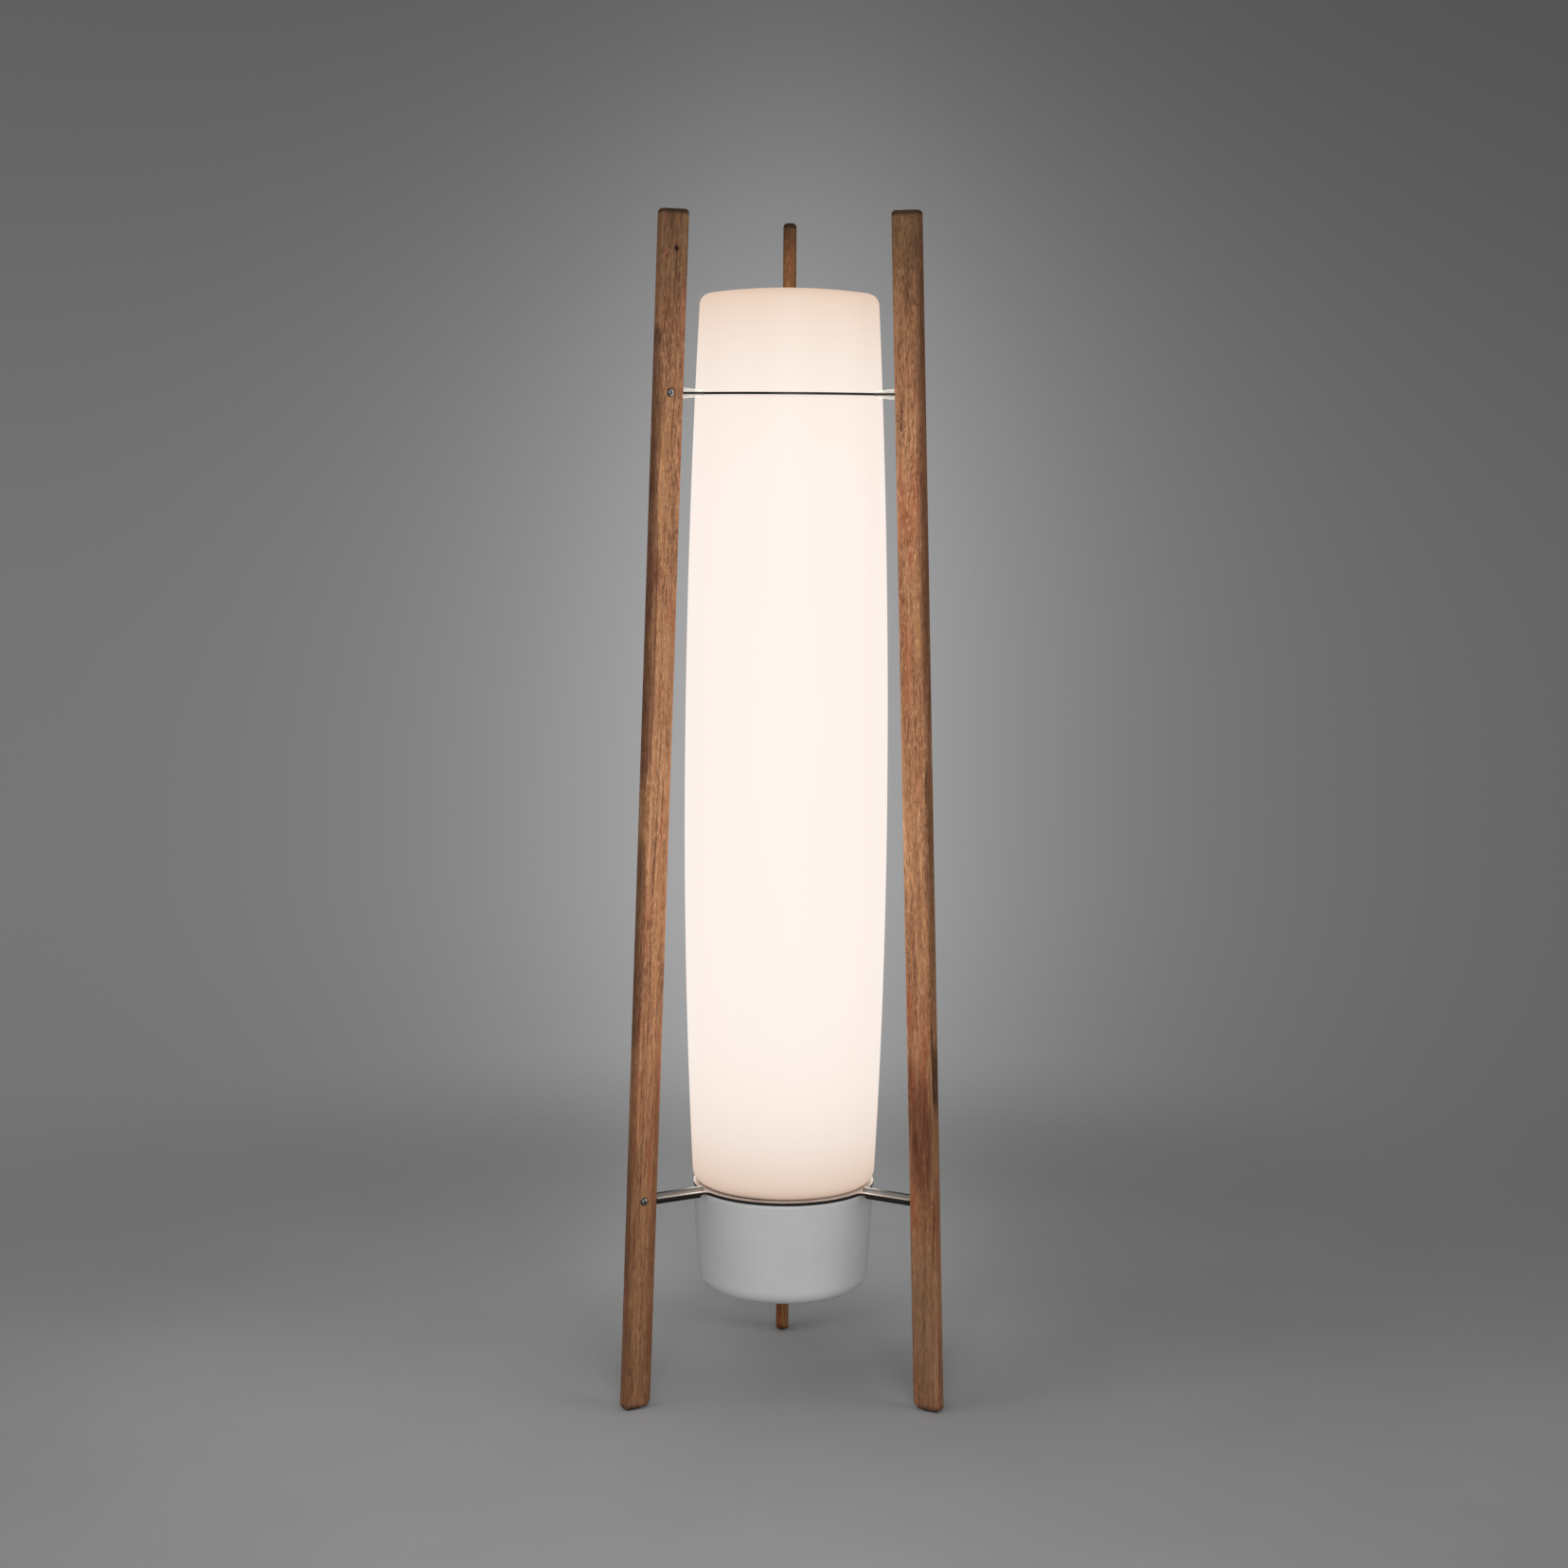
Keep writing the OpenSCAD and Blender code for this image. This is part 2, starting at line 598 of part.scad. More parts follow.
module cover_clips() {
    z1 = plate_under;
    b = lower_barrel(z1 - 25.5, cover_wall) - 0.5;
    color("#9fa1a4") on_axis() for (a = LEGS) at(a) difference() {
        translate([0, 6, 0]) rotate([90, 0, 0]) linear_extrude(12) polygon([
            [80, z1], [103.6, z1], [103.6, z1 - 16], [b, z1 - 25.5], [103.6, z1 - 35], [103.6 - clip_t, z1 - 34.6],
            [b - clip_t - 0.2, z1 - 25.5], [103.6 - clip_t, z1 - 16.4], [103.6 - clip_t, z1 - clip_t], [80, z1 - clip_t]]);
        translate([clip_at_r, 0, z1 - 3]) cylinder(r = 2.15, h = 4, $fn = SMALL);
    }
}

module clip_screws() {
    color("#8f9296") on_axis() for (a = LEGS) at(a)
        translate([clip_at_r, 0, plate_under - clip_t]) rotate([180, 0, 0]) pan_screw(2, clip_t + plate_t - 0.2, 3.6, 2.4);
}

// ---- service cover ----

module base_cover() {
    color(CUP) on_axis() rotate_extrude($fn = CIRCLE) polygon(concat(
        [[bush_r + eps, cover_bottom_z]], cover_side(0), reversed(cover_side(cover_wall)),
        [[bush_r + eps, cover_bottom_z + cover_wall]]));
}

module cover_gasket() {
    r1 = lower_barrel(rim_z, 0) - 0.3;
    color("#2b2b2b") on_axis() difference() {
        translate([0, 0, rim_z]) cylinder(r = r1, h = 1, $fn = CIRCLE);
        translate([0, 0, rim_z - 1]) cylinder(r = r1 - cover_wall + 0.6, h = 3, $fn = CIRCLE);
    }
}

module cable_bush() {
    color("#2d2d30") on_axis() difference() {
        union() {
            translate([0, 0, cover_bottom_z - bush_flange_t]) cylinder(r = bush_flange_r, h = bush_flange_t, $fn = 48);
            translate([0, 0, cover_bottom_z - 1]) cylinder(r = bush_r, h = bush_top - cover_bottom_z + 1, $fn = 48);
        }
        translate([0, 0, cover_bottom_z - bush_flange_t - 1]) cylinder(r = inlet_r, h = 40, $fn = 48);
    }
}

module bush_nut() {
    color("#2d2d30") on_axis() translate([0, 0, cover_bottom_z + cover_wall]) difference() {
        cylinder(r = 8.5 / cos(30), h = 5, $fn = 6);
        translate([0, 0, -1]) cylinder(r = bush_r + 0.04, h = 8, $fn = 48);
    }
}

leg_left();
leg_right();
leg_back();
foot_glides();
upper_ring();
lower_ring();
upper_web_left();
upper_web_right();
upper_web_back();
lower_web_left();
lower_web_right();
lower_web_back();
upper_leg_screws();
lower_leg_screws();
diffuser();
diffuser_gasket();
gear_plate();
plate_washers();
plate_nuts();
mast_foot();
mast_screws();
mast();
mast_cap();
centring_star();
led_board_left();
led_board_right();
led_board_front();
led_emitters();
board_screws();
driver();
driver_screws();
terminal_block();
terminal_screws();
earth_screw();
lead_grommet();
led_lead();
cover_clips();
clip_screws();
base_cover();
cover_gasket();
cable_bush();
bush_nut();
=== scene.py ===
"""Looks of the tripod lantern floor lamp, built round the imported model. Metres, Z up."""
import json
import math

import bmesh
import bpy
from mathutils import Matrix, Vector

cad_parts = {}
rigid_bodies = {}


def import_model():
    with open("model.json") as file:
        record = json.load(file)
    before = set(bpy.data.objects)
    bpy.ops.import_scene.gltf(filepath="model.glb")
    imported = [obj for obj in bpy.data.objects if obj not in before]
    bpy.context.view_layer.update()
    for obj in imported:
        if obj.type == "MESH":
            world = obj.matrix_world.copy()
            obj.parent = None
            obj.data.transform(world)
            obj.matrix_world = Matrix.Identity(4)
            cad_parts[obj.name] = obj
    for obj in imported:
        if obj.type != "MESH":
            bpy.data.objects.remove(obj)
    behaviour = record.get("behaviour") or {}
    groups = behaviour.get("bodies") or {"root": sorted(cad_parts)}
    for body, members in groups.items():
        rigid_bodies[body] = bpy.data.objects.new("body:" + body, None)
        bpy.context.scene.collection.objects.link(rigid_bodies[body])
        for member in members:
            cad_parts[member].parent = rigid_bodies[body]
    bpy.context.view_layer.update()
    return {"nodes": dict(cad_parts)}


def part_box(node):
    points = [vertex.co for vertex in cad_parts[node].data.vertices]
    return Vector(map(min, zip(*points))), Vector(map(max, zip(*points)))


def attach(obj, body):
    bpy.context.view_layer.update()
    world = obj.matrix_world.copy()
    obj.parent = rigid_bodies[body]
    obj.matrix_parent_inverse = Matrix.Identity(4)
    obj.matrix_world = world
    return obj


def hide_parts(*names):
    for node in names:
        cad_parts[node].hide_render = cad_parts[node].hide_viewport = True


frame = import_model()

NODES = frame["nodes"]
STAND = "stand"
COVER = "service_cover"
scene = bpy.context.scene
D = math.radians
lo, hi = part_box("diffuser")
AY = (lo.y + hi.y) / 2      # the lamp's own axis stands at x = 0, y = AY
MM = 0.001

# ---------------------------------------------------------------- sizes, as in the construction
LEG = {"left": 210.0, "right": 330.0, "back": 90.0}
BETWEEN = (30.0, 150.0, 270.0)
LEAN = D(2.0)
FOOT_R = 208.5
TOP_Z = 1450.0
WIDE, THICK, EDGE_R = 36.0, 16.5, 4.0
UP_Z, UP_IN, UP_OUT = 1236.0, 114.3, 121.0
LOW_Z, LOW_IN, LOW_OUT = 261.0, 88.0, 113.0
RING_T, TAB_W, FLARE, WEB_T = 3.0, 16.0, 9.0, 4.0


def leg_r(z):
    return FOOT_R - z * math.tan(LEAN)


def leg_face_r(z):
    return leg_r(z) - WIDE / 2 / math.cos(LEAN)


# ---------------------------------------------------------------- mesh helpers
def link(obj):
    scene.collection.objects.link(obj)
    return obj


def mesh_object(name, verts, faces, smooth=True):
    me = bpy.data.meshes.new(name)
    me.from_pydata([tuple(v) for v in verts], [], faces)
    me.validate()
    bm = bmesh.new()
    bm.from_mesh(me)
    bmesh.ops.remove_doubles(bm, verts=bm.verts, dist=1e-7)
    bmesh.ops.recalc_face_normals(bm, faces=bm.faces)
    bm.to_mesh(me)
    bm.free()
    for p in me.polygons:
        p.use_smooth = smooth
    return link(bpy.data.objects.new(name, me))


def sharp_by_angle(obj, degrees):
    """Marks edges sharper than the angle, so that smooth shading stops there."""
    bm = bmesh.new()
    bm.from_mesh(obj.data)
    for e in bm.edges:
        e.smooth = not (len(e.link_faces) == 2 and e.calc_face_angle(0) > D(degrees))
    bm.to_mesh(obj.data)
    bm.free()


def arc(cx, cz, r, a0, a1, n, first=0):
    return [(cx + r * math.cos(D(a0 + (a1 - a0) * i / n)), cz + r * math.sin(D(a0 + (a1 - a0) * i / n)))
            for i in range(first, n + 1)]


def lathe_data(profile, seg, cx=0.0, cy=0.0, closed=False):
    """Revolves (r, z) points in mm. A point with r = 0 is a pole."""
    verts, faces, rings = [], [], []
    for r, z in profile:
        if r < 1e-6:
            rings.append([len(verts)])
            verts.append((cx * MM, cy * MM, z * MM))
        else:
            rings.append(list(range(len(verts), len(verts) + seg)))
            for i in range(seg):
                a = 2 * math.pi * i / seg
                verts.append(((cx + r * math.cos(a)) * MM, (cy + r * math.sin(a)) * MM, z * MM))
    pairs = list(zip(rings, rings[1:]))
    if closed:
        pairs.append((rings[-1], rings[0]))
    for a, b in pairs:
        if len(a) == 1 and len(b) == 1:
            continue
        for i in range(seg):
            j = (i + 1) % seg
            if len(a) == 1:
                faces.append((a[0], b[i], b[j]))
            elif len(b) == 1:
                faces.append((a[i], b[0], a[j]))
            else:
                faces.append((a[i], b[i], b[j], a[j]))
    return verts, faces


def lathe(name, profile, seg=128, closed=False, sharp=32):
    verts, faces = lathe_data(profile, seg, closed=closed)
    o = mesh_object(name, [(x, y + AY, z) for x, y, z in verts], faces)
    sharp_by_angle(o, sharp)
    return o


def plate(name, loops, thick, bevel=0.3, steps=3):
    """A flat plate with eased edges from closed outlines in mm, lying on z = 0 +- thick/2."""
    cu = bpy.data.curves.new(name, "CURVE")
    cu.dimensions = "2D"
    cu.fill_mode = "BOTH"
    cu.extrude = (thick / 2 - bevel) * MM
    cu.bevel_depth = bevel * MM
    cu.bevel_resolution = steps
    cu.offset = -bevel * MM
    for loop in loops:
        sp = cu.splines.new("POLY")
        sp.points.add(len(loop) - 1)
        for p, (x, y) in zip(sp.points, loop):
            p.co = (x * MM, y * MM, 0, 1)
        sp.use_cyclic_u = True
    tmp = link(bpy.data.objects.new(name + "_c", cu))
    bpy.context.view_layer.update()
    me = bpy.data.meshes.new_from_object(tmp.evaluated_get(bpy.context.evaluated_depsgraph_get()))
    bpy.data.objects.remove(tmp)
    me.name = name
    bm = bmesh.new()
    bm.from_mesh(me)
    bmesh.ops.remove_doubles(bm, verts=bm.verts, dist=2e-6)
    bmesh.ops.dissolve_degenerate(bm, dist=1e-6, edges=bm.edges)
    bmesh.ops.recalc_face_normals(bm, faces=bm.faces)
    bm.to_mesh(me)
    bm.free()
    for p in me.polygons:
        p.use_smooth = abs(p.normal.z) < 0.999
        p.material_index = 1 if p.use_smooth else 0
    o = link(bpy.data.objects.new(name, me))
    sharp_by_angle(o, 50)
    return o


def move(obj, m):
    obj.data.transform(m)
    obj.data.update()
    return obj


def join(objs, name):
    bm = bmesh.new()
    for o in objs:
        me = o.data.copy()
        me.transform(o.matrix_world)
        bm.from_mesh(me)
        bpy.data.meshes.remove(me)
    me = bpy.data.meshes.new(name)
    bm.to_mesh(me)
    bm.free()
    for o in objs:
        bpy.data.objects.remove(o)
    return link(bpy.data.objects.new(name, me))


def at_azimuth(az):
    return Matrix.Translation((0, AY, 0)) @ Matrix.Rotation(D(az), 4, "Z")


# ---------------------------------------------------------------- node helpers
class Nodes:
    """Short calls for the nodes that a material or the world needs."""
    where = "Object"

    def __init__(self, nt):
        self.nt = nt
        self.nt.nodes.clear()
        self._co = None

    def link(self, a, b):
        self.nt.links.new(a, b)

    def co(self):
        if self._co is None:
            self._co = self.nt.nodes.new("ShaderNodeTexCoord").outputs[self.where]
        return self._co

    def value(self, x, inp):
        if hasattr(x, "is_linked"):
            self.link(x, inp)
        else:
            inp.default_value = x

    def math(self, op, a, b=0.0, c=None, clamp=False):
        n = self.nt.nodes.new("ShaderNodeMath")
        n.operation = op
        n.use_clamp = clamp
        self.value(a, n.inputs[0])
        self.value(b, n.inputs[1])
        if c is not None:
            self.value(c, n.inputs[2])
        return n.outputs[0]

    def vmath(self, op, a, b=(0, 0, 0)):
        n = self.nt.nodes.new("ShaderNodeVectorMath")
        n.operation = op
        self.value(a, n.inputs[0])
        if op == "SCALE":
            self.value(b, n.inputs[3])
        else:
            self.value(b, n.inputs[1])
        return n.outputs["Value" if op in ("DOT_PRODUCT", "LENGTH", "DISTANCE") else "Vector"]

    def xyz(self, v):
        n = self.nt.nodes.new("ShaderNodeSeparateXYZ")
        self.link(v, n.inputs[0])
        return n.outputs[0], n.outputs[1], n.outputs[2]

    def combine(self, x, y, z):
        n = self.nt.nodes.new("ShaderNodeCombineXYZ")
        for s, i in zip((x, y, z), n.inputs):
            self.value(s, i)
        return n.outputs[0]

    def noise(self, vec, scale=1.0, detail=3.0, rough=0.5, dist=0.0):
        n = self.nt.nodes.new("ShaderNodeTexNoise")
        self.link(vec, n.inputs["Vector"])
        n.inputs["Scale"].default_value = scale
        n.inputs["Detail"].default_value = detail
        n.inputs["Roughness"].default_value = rough
        n.inputs["Distortion"].default_value = dist
        return n.outputs["Fac"]

    def scaled(self, vec, sx, sy, sz, off=(0, 0, 0)):
        n = self.nt.nodes.new("ShaderNodeMapping")
        self.link(vec, n.inputs["Vector"])
        n.inputs["Location"].default_value = off
        n.inputs["Scale"].default_value = (sx, sy, sz)
        return n.outputs[0]

    def ramp(self, fac, stops, interp="LINEAR"):
        n = self.nt.nodes.new("ShaderNodeValToRGB")
        n.color_ramp.interpolation = interp
        self.link(fac, n.inputs[0])
        els = n.color_ramp.elements
        while len(els) > 1:
            els.remove(els[-1])
        for i, (p, c) in enumerate(stops):
            e = els[0] if i == 0 else els.new(p)
            e.position = p
            e.color = (c, c, c, 1) if isinstance(c, (int, float)) else (*c, 1)
        return n.outputs[0]

    def remap(self, v, a, b, c=0.0, d=1.0, smooth=False):
        n = self.nt.nodes.new("ShaderNodeMapRange")
        n.interpolation_type = "SMOOTHSTEP" if smooth else "LINEAR"
        self.value(v, n.inputs["Value"])
        for k, x in zip(("From Min", "From Max", "To Min", "To Max"), (a, b, c, d)):
            n.inputs[k].default_value = x
        return n.outputs["Result"]

    def mix(self, fac, a, b, blend="MIX"):
        n = self.nt.nodes.new("ShaderNodeMix")
        n.data_type = "RGBA"
        n.blend_type = blend
        self.value(fac, n.inputs[0])
        for x, i in ((a, n.inputs[6]), (b, n.inputs[7])):
            if hasattr(x, "is_linked"):
                self.link(x, i)
            else:
                i.default_value = (*x, 1)
        return n.outputs[2]



class Mat(Nodes):
    """A material with one Principled shader."""

    def __init__(self, name):
        self.m = bpy.data.materials.new(name)
        self.m.use_nodes = True
        super().__init__(self.m.node_tree)
        self.out = self.nt.nodes.new("ShaderNodeOutputMaterial")
        self.bsdf = self.nt.nodes.new("ShaderNodeBsdfPrincipled")
        self.nt.links.new(self.bsdf.outputs[0], self.out.inputs[0])

    def set(self, **kw):
        for k, v in kw.items():
            self.bsdf.inputs[k.replace("_", " ")].default_value = v
        return self

    def to(self, socket, name):
        self.link(socket, self.bsdf.inputs[name])

    def bump(self, height, strength=0.3, distance=0.001):
        n = self.nt.nodes.new("ShaderNodeBump")
        n.inputs["Strength"].default_value = strength
        n.inputs["Distance"].default_value = distance
        self.link(height, n.inputs["Height"])
        self.link(n.outputs[0], self.bsdf.inputs["Normal"])
        return n.outputs[0]


def srgb(r, g, b):
    def f(v):
        v /= 255
        return v / 12.92 if v <= 0.04045 else ((v + 0.055) / 1.055) ** 2.4
    return (f(r), f(g), f(b))


def dress(obj, *mats):
    if len(obj.data.materials):
        obj.data.materials.clear()
    for m in mats:
        obj.data.materials.append(m)
    return obj


def dress_node(name, mat):
    o = NODES[name]
    if not o.material_slots:
        o.data.materials.append(mat)
    for s in o.material_slots:
        s.material = mat


# ---------------------------------------------------------------- wood
def wood(name, az, seed, knots=(), stains_and_shade=(), tint=None, gloss=0.20, foot=0.15):
    """Oiled teak. Coordinates follow the leg: x outwards, y along the turn, z along the leg, in metres."""
    M = Mat(name)
    a = D(az)
    er = Vector((math.cos(a), math.sin(a), 0))
    et = Vector((-math.sin(a), math.cos(a), 0))
    ax = (Vector((0, 0, 1)) * math.cos(LEAN) - er * math.sin(LEAN)).normalized()
    ex = (er * math.cos(LEAN) + Vector((0, 0, 1)) * math.sin(LEAN)).normalized()
    p0 = Vector((0, AY, 0)) + er * FOOT_R * MM
    rel = M.vmath("SUBTRACT", M.co(), tuple(p0))
    x = M.vmath("DOT_PRODUCT", rel, tuple(ex))
    y = M.vmath("DOT_PRODUCT", rel, tuple(et))
    z = M.vmath("DOT_PRODUCT", rel, tuple(ax))

    def spot(kx, kz, sx, sz, soft=0.3):
        """1 inside an ellipse on the face, falling to 0 at its rim."""
        dx = M.math("DIVIDE", M.math("SUBTRACT", x, kx), sx)
        dz = M.math("DIVIDE", M.math("SUBTRACT", z, kz), sz)
        r = M.math("SQRT", M.math("ADD", M.math("MULTIPLY", dx, dx), M.math("MULTIPLY", dz, dz)))
        return r, M.remap(r, soft, 1.0, 1.0, 0.0, smooth=True)

    # the grain runs round each knot
    push = None
    for kx, kz, size, dark in knots:
        dx = M.math("SUBTRACT", x, kx)
        r, f = spot(kx, kz, size * 3.2, size * 11, 0.0)
        t = M.math("MULTIPLY", M.math("MULTIPLY", f, dx), 0.85)
        push = t if push is None else M.math("ADD", push, t)
    xg = M.math("SUBTRACT", x, push) if push is not None else x
    base0 = M.combine(xg, y, z)
    # waves of the grain: slow ones over the whole leg, small ripples over a few centimetres
    slow = M.noise(M.scaled(base0, 12, 12, 1.6, (seed, seed * 0.7, seed * 1.3)), 1.0, 2.0, 0.5)
    ripple = M.noise(M.scaled(base0, 45, 45, 30, (seed * 1.9, 2.0, seed)), 1.0, 2.0, 0.5)
    wx = M.math("ADD", M.math("MULTIPLY", M.math("SUBTRACT", slow, 0.5), 0.022), M.math("MULTIPLY", M.math("SUBTRACT", ripple, 0.5), 0.0032))
    xw = M.math("ADD", xg, wx)
    base = M.combine(xw, y, z)
    # growth rings: circles round a pith outside the bar that leans against it
    px = M.math("ADD", xw, M.math("MULTIPLY", z, 0.013 + 0.005 * math.sin(seed)))
    cx, cy = 0.034 + 0.012 * math.sin(seed * 2.1), -0.046 + 0.016 * math.cos(seed * 1.7)
    rx, ry = M.math("ADD", px, cx), M.math("ADD", y, cy)
    rr = M.math("SQRT", M.math("ADD", M.math("MULTIPLY", rx, rx), M.math("MULTIPLY", ry, ry)))
    uneven = M.noise(M.combine(M.math("MULTIPLY", rr, 120.0), seed, M.math("MULTIPLY", z, 2.0)), 1.0, 3.0, 0.6)
    ph = M.math("ADD", M.math("MULTIPLY", rr, 230.0), M.math("MULTIPLY", uneven, 2.6))
    saw = M.math("FRACT", ph)
    late = M.ramp(saw, [(0.0, 0.0), (0.45, 0.12), (0.80, 0.75), (0.90, 1.0), (0.96, 0.5), (1.0, 0.0)])

    broad = M.noise(M.scaled(base, 90, 90, 4.5, (0, seed * 2, seed)), 1.0, 3.0, 0.55)
    streak = M.noise(M.scaled(base, 330, 330, 15, (seed * 3, 0, seed)), 1.0, 4.0, 0.65)
    fibre = M.noise(M.scaled(base, 610, 610, 70, (seed, seed, 4.0)), 1.0, 5.0, 0.74)
    tone = M.noise(M.scaled(base, 20, 20, 5.5, (seed * 5, seed, 0)), 1.0, 3.0, 0.55)
    fleck = M.noise(M.scaled(base, 520, 520, 120, (seed, 1, 7)), 1.0, 3.0, 0.7)
    pores = M.noise(M.scaled(base, 680, 680, 105, (seed, 3, 1)), 1.0, 4.0, 0.75)
    rare = M.noise(M.scaled(base, 60, 60, 9, (seed, 5, seed)), 1.0, 2.0, 0.5)
    pore = M.remap(M.math("ADD", pores, M.math("MULTIPLY", M.math("SUBTRACT", rare, 0.5), 0.22)), 0.555, 0.635, 0.0, 1.0, smooth=True)

    g = M.math("MULTIPLY", M.remap(broad, 0.28, 0.72), 0.24)
    g = M.math("ADD", g, M.math("MULTIPLY", M.remap(streak, 0.32, 0.68), 0.27))
    g = M.math("ADD", g, M.math("MULTIPLY", M.remap(fibre, 0.34, 0.66), 0.36))
    g = M.math("ADD", g, M.math("MULTIPLY", M.math("SUBTRACT", 1.0, late), 0.15))
    g = M.math("ADD", g, M.remap(tone, 0.3, 0.7, -0.12, 0.10), clamp=True)
    col = M.ramp(g, [(0.0, srgb(72, 40, 25)), (0.22, srgb(111, 70, 47)), (0.42, srgb(147, 101, 71)), (0.60, srgb(170, 121, 86)),
                     (0.80, srgb(192, 142, 103)), (1.0, srgb(214, 169, 128))])
    # redder and yellower patches
    hue = M.noise(M.scaled(base, 60, 60, 6.5, (seed, seed, seed * 4)), 1.0, 3.0, 0.6)
    col = M.mix(M.remap(hue, 0.52, 0.68, 0.0, 0.60), col, srgb(160, 88, 58))
    col = M.mix(M.remap(hue, 0.46, 0.30, 0.0, 0.42), col, srgb(178, 128, 76))
    # dark mineral streaks
    dark = M.noise(M.scaled(base, 75, 75, 5.0, (seed * 2, seed * 6, 1)), 1.0, 4.0, 0.65)
    col = M.mix(M.remap(dark, 0.60, 0.74, 0.0, 0.62, smooth=True), col, srgb(72, 42, 26))
    col = M.mix(M.math("MULTIPLY", M.remap(fleck, 0.54, 0.63), M.remap(z, 0.38, 0.62, 0.20, 0.46, smooth=True)), col, srgb(222, 172, 128))
    open_grain = M.remap(z, 0.38, 0.62, 0.30, 0.62, smooth=True)
    col = M.mix(M.math("MULTIPLY", pore, open_grain), col, srgb(62, 34, 21))
    # darker and greener towards the top, above the lamp's glow: painted shade
    col = M.mix(M.remap(z, 1.300, 1.435, 0.0, 0.56, smooth=True), col, srgb(103, 80, 56))
    col = M.mix(M.remap(z, 0.340, 0.060, 0.0, foot, smooth=True), col, srgb(70, 44, 28))
    edge = M.noise(M.scaled(base, 130, 130, 26, (seed, 9, 2)), 1.0, 4.0, 0.7)
    # stains, and along the outer edge long soft dark patches that are painted shade on the side away from the lamp
    for kx, kz, sx, sz, much, colour, soft in stains_and_shade:
        r, f = spot(kx, kz, sx, sz, soft)
        f = M.math("MULTIPLY", f, M.remap(edge, 0.30, 0.60, 0.45, 1.0))
        col = M.mix(M.math("MULTIPLY", f, much), col, srgb(*colour))
    pit = None
    for kx, kz, size, much in knots:
        wob = M.remap(edge, 0.3, 0.7, -0.35, 0.35)
        r, f = spot(kx, kz, size, size * 1.5, 0.5)
        rw = M.math("ADD", r, wob)
        core = M.remap(rw, 0.55, 1.0, 1.0, 0.0, smooth=True)
        halo = M.remap(rw, 1.0, 2.6, 1.0, 0.0, smooth=True)
        col = M.mix(M.math("MULTIPLY", halo, 0.55 * much), col, srgb(104, 56, 34))
        core = M.math("MULTIPLY", core, much)
        col = M.mix(core, col, srgb(30, 14, 9))
        pit = core if pit is None else M.math("MAXIMUM", pit, core)
    # end grain takes up more oil
    ends = M.math("MAXIMUM", M.remap(z, 0.0105, 0.0030, 0.0, 0.75, smooth=True), M.remap(z, 1.4425, 1.4475, 0.0, 1.0, smooth=True))
    col = M.mix(M.math("MULTIPLY", ends, 0.80), col, srgb(42, 27, 18))
    if tint is not None:
        col = M.mix(1.0, col, tint, "MULTIPLY")
    M.to(col, "Base Color")
    rough = M.math("ADD", M.remap(streak, 0.2, 0.8, 0.47, 0.60), M.math("MULTIPLY", pore, 0.16))
    M.to(rough, "Roughness")
    h = M.math("SUBTRACT", M.math("MULTIPLY", fibre, 0.7), M.math("MULTIPLY", pore, 0.8))
    h = M.math("SUBTRACT", h, M.math("MULTIPLY", late, 0.12))
    if pit is not None:
        h = M.math("SUBTRACT", h, pit)
    M.bump(h, 0.75, 0.00042)
    M.set(IOR=1.46)
    M.bsdf.inputs["Specular IOR Level"].default_value = gloss
    return M.m


# ---------------------------------------------------------------- other materials
def opal(name):
    """The lit barrel. Its glow is set by height alone: even over the light boards, warmer and dimmer at both ends,
    with a thin painted contact shadow where its foot sits on the ring.
    """
    M = Mat(name)
    x, y, z = M.xyz(M.co())
    cloud = M.noise(M.scaled(M.co(), 6, 6, 2.2), 1.0, 2.0, 0.5)
    h = M.math("ADD", z, M.math("MULTIPLY", M.math("SUBTRACT", cloud, 0.5), 0.0044))
    glow = list(OPAL_LIT)
    for end, length, lost in OPAL_FADES_AND_CONTACT_SHADE:
        away = M.math("SUBTRACT", h, end) if end < 0.7 else M.math("SUBTRACT", end, h)
        fade = M.math("EXPONENT", M.math("DIVIDE", away, -length))
        glow = [M.math("SUBTRACT", g, M.math("MULTIPLY", fade, v)) for g, v in zip(glow, lost)]
    M.to(M.combine(*[M.math("MAXIMUM", g, 0.002) for g in glow]), "Emission Color")
    M.set(Emission_Strength=1.0, IOR=1.49)
    fine = M.noise(M.scaled(M.co(), 900, 900, 900), 1.0, 2.0, 0.5)
    M.to(M.remap(fine, 0.3, 0.7, 0.44, 0.52), "Roughness")
    tint = M.noise(M.scaled(M.co(), 14, 14, 5), 1.0, 3.0, 0.5)
    M.to(M.ramp(tint, [(0.3, (0.116, 0.118, 0.116)), (0.7, (0.128, 0.130, 0.128))]), "Base Color")
    M.bump(fine, 0.04, 0.0001)
    M.bsdf.inputs["Specular IOR Level"].default_value = 0.25
    return M.m


def satin_shell(name):
    """The unlit cup: satin opal plastic, with a faint mould texture, a little darker towards the bottom."""
    M = Mat(name)
    x, y, z = M.xyz(M.co())
    n = M.noise(M.scaled(M.co(), 22, 22, 22), 1.0, 4.0, 0.55)
    # a little darker towards the bottom
    low = M.remap(z, 0.150, 0.128, 0.0, 1.0, smooth=True)
    col = M.ramp(n, [(0.3, CUP_LOW), (0.7, CUP_HIGH)])
    col = M.mix(M.math("MULTIPLY", low, 0.10), col, (0.60, 0.595, 0.585))
    M.to(col, "Base Color")
    fine = M.noise(M.scaled(M.co(), 1500, 1500, 1500), 1.0, 2.0, 0.5)
    M.to(M.remap(fine, 0.3, 0.7, 0.40, 0.50), "Roughness")
    M.bump(fine, 0.10, 0.0001)
    M.set(IOR=1.49)
    M.bsdf.inputs["Specular IOR Level"].default_value = 0.30
    return M.m


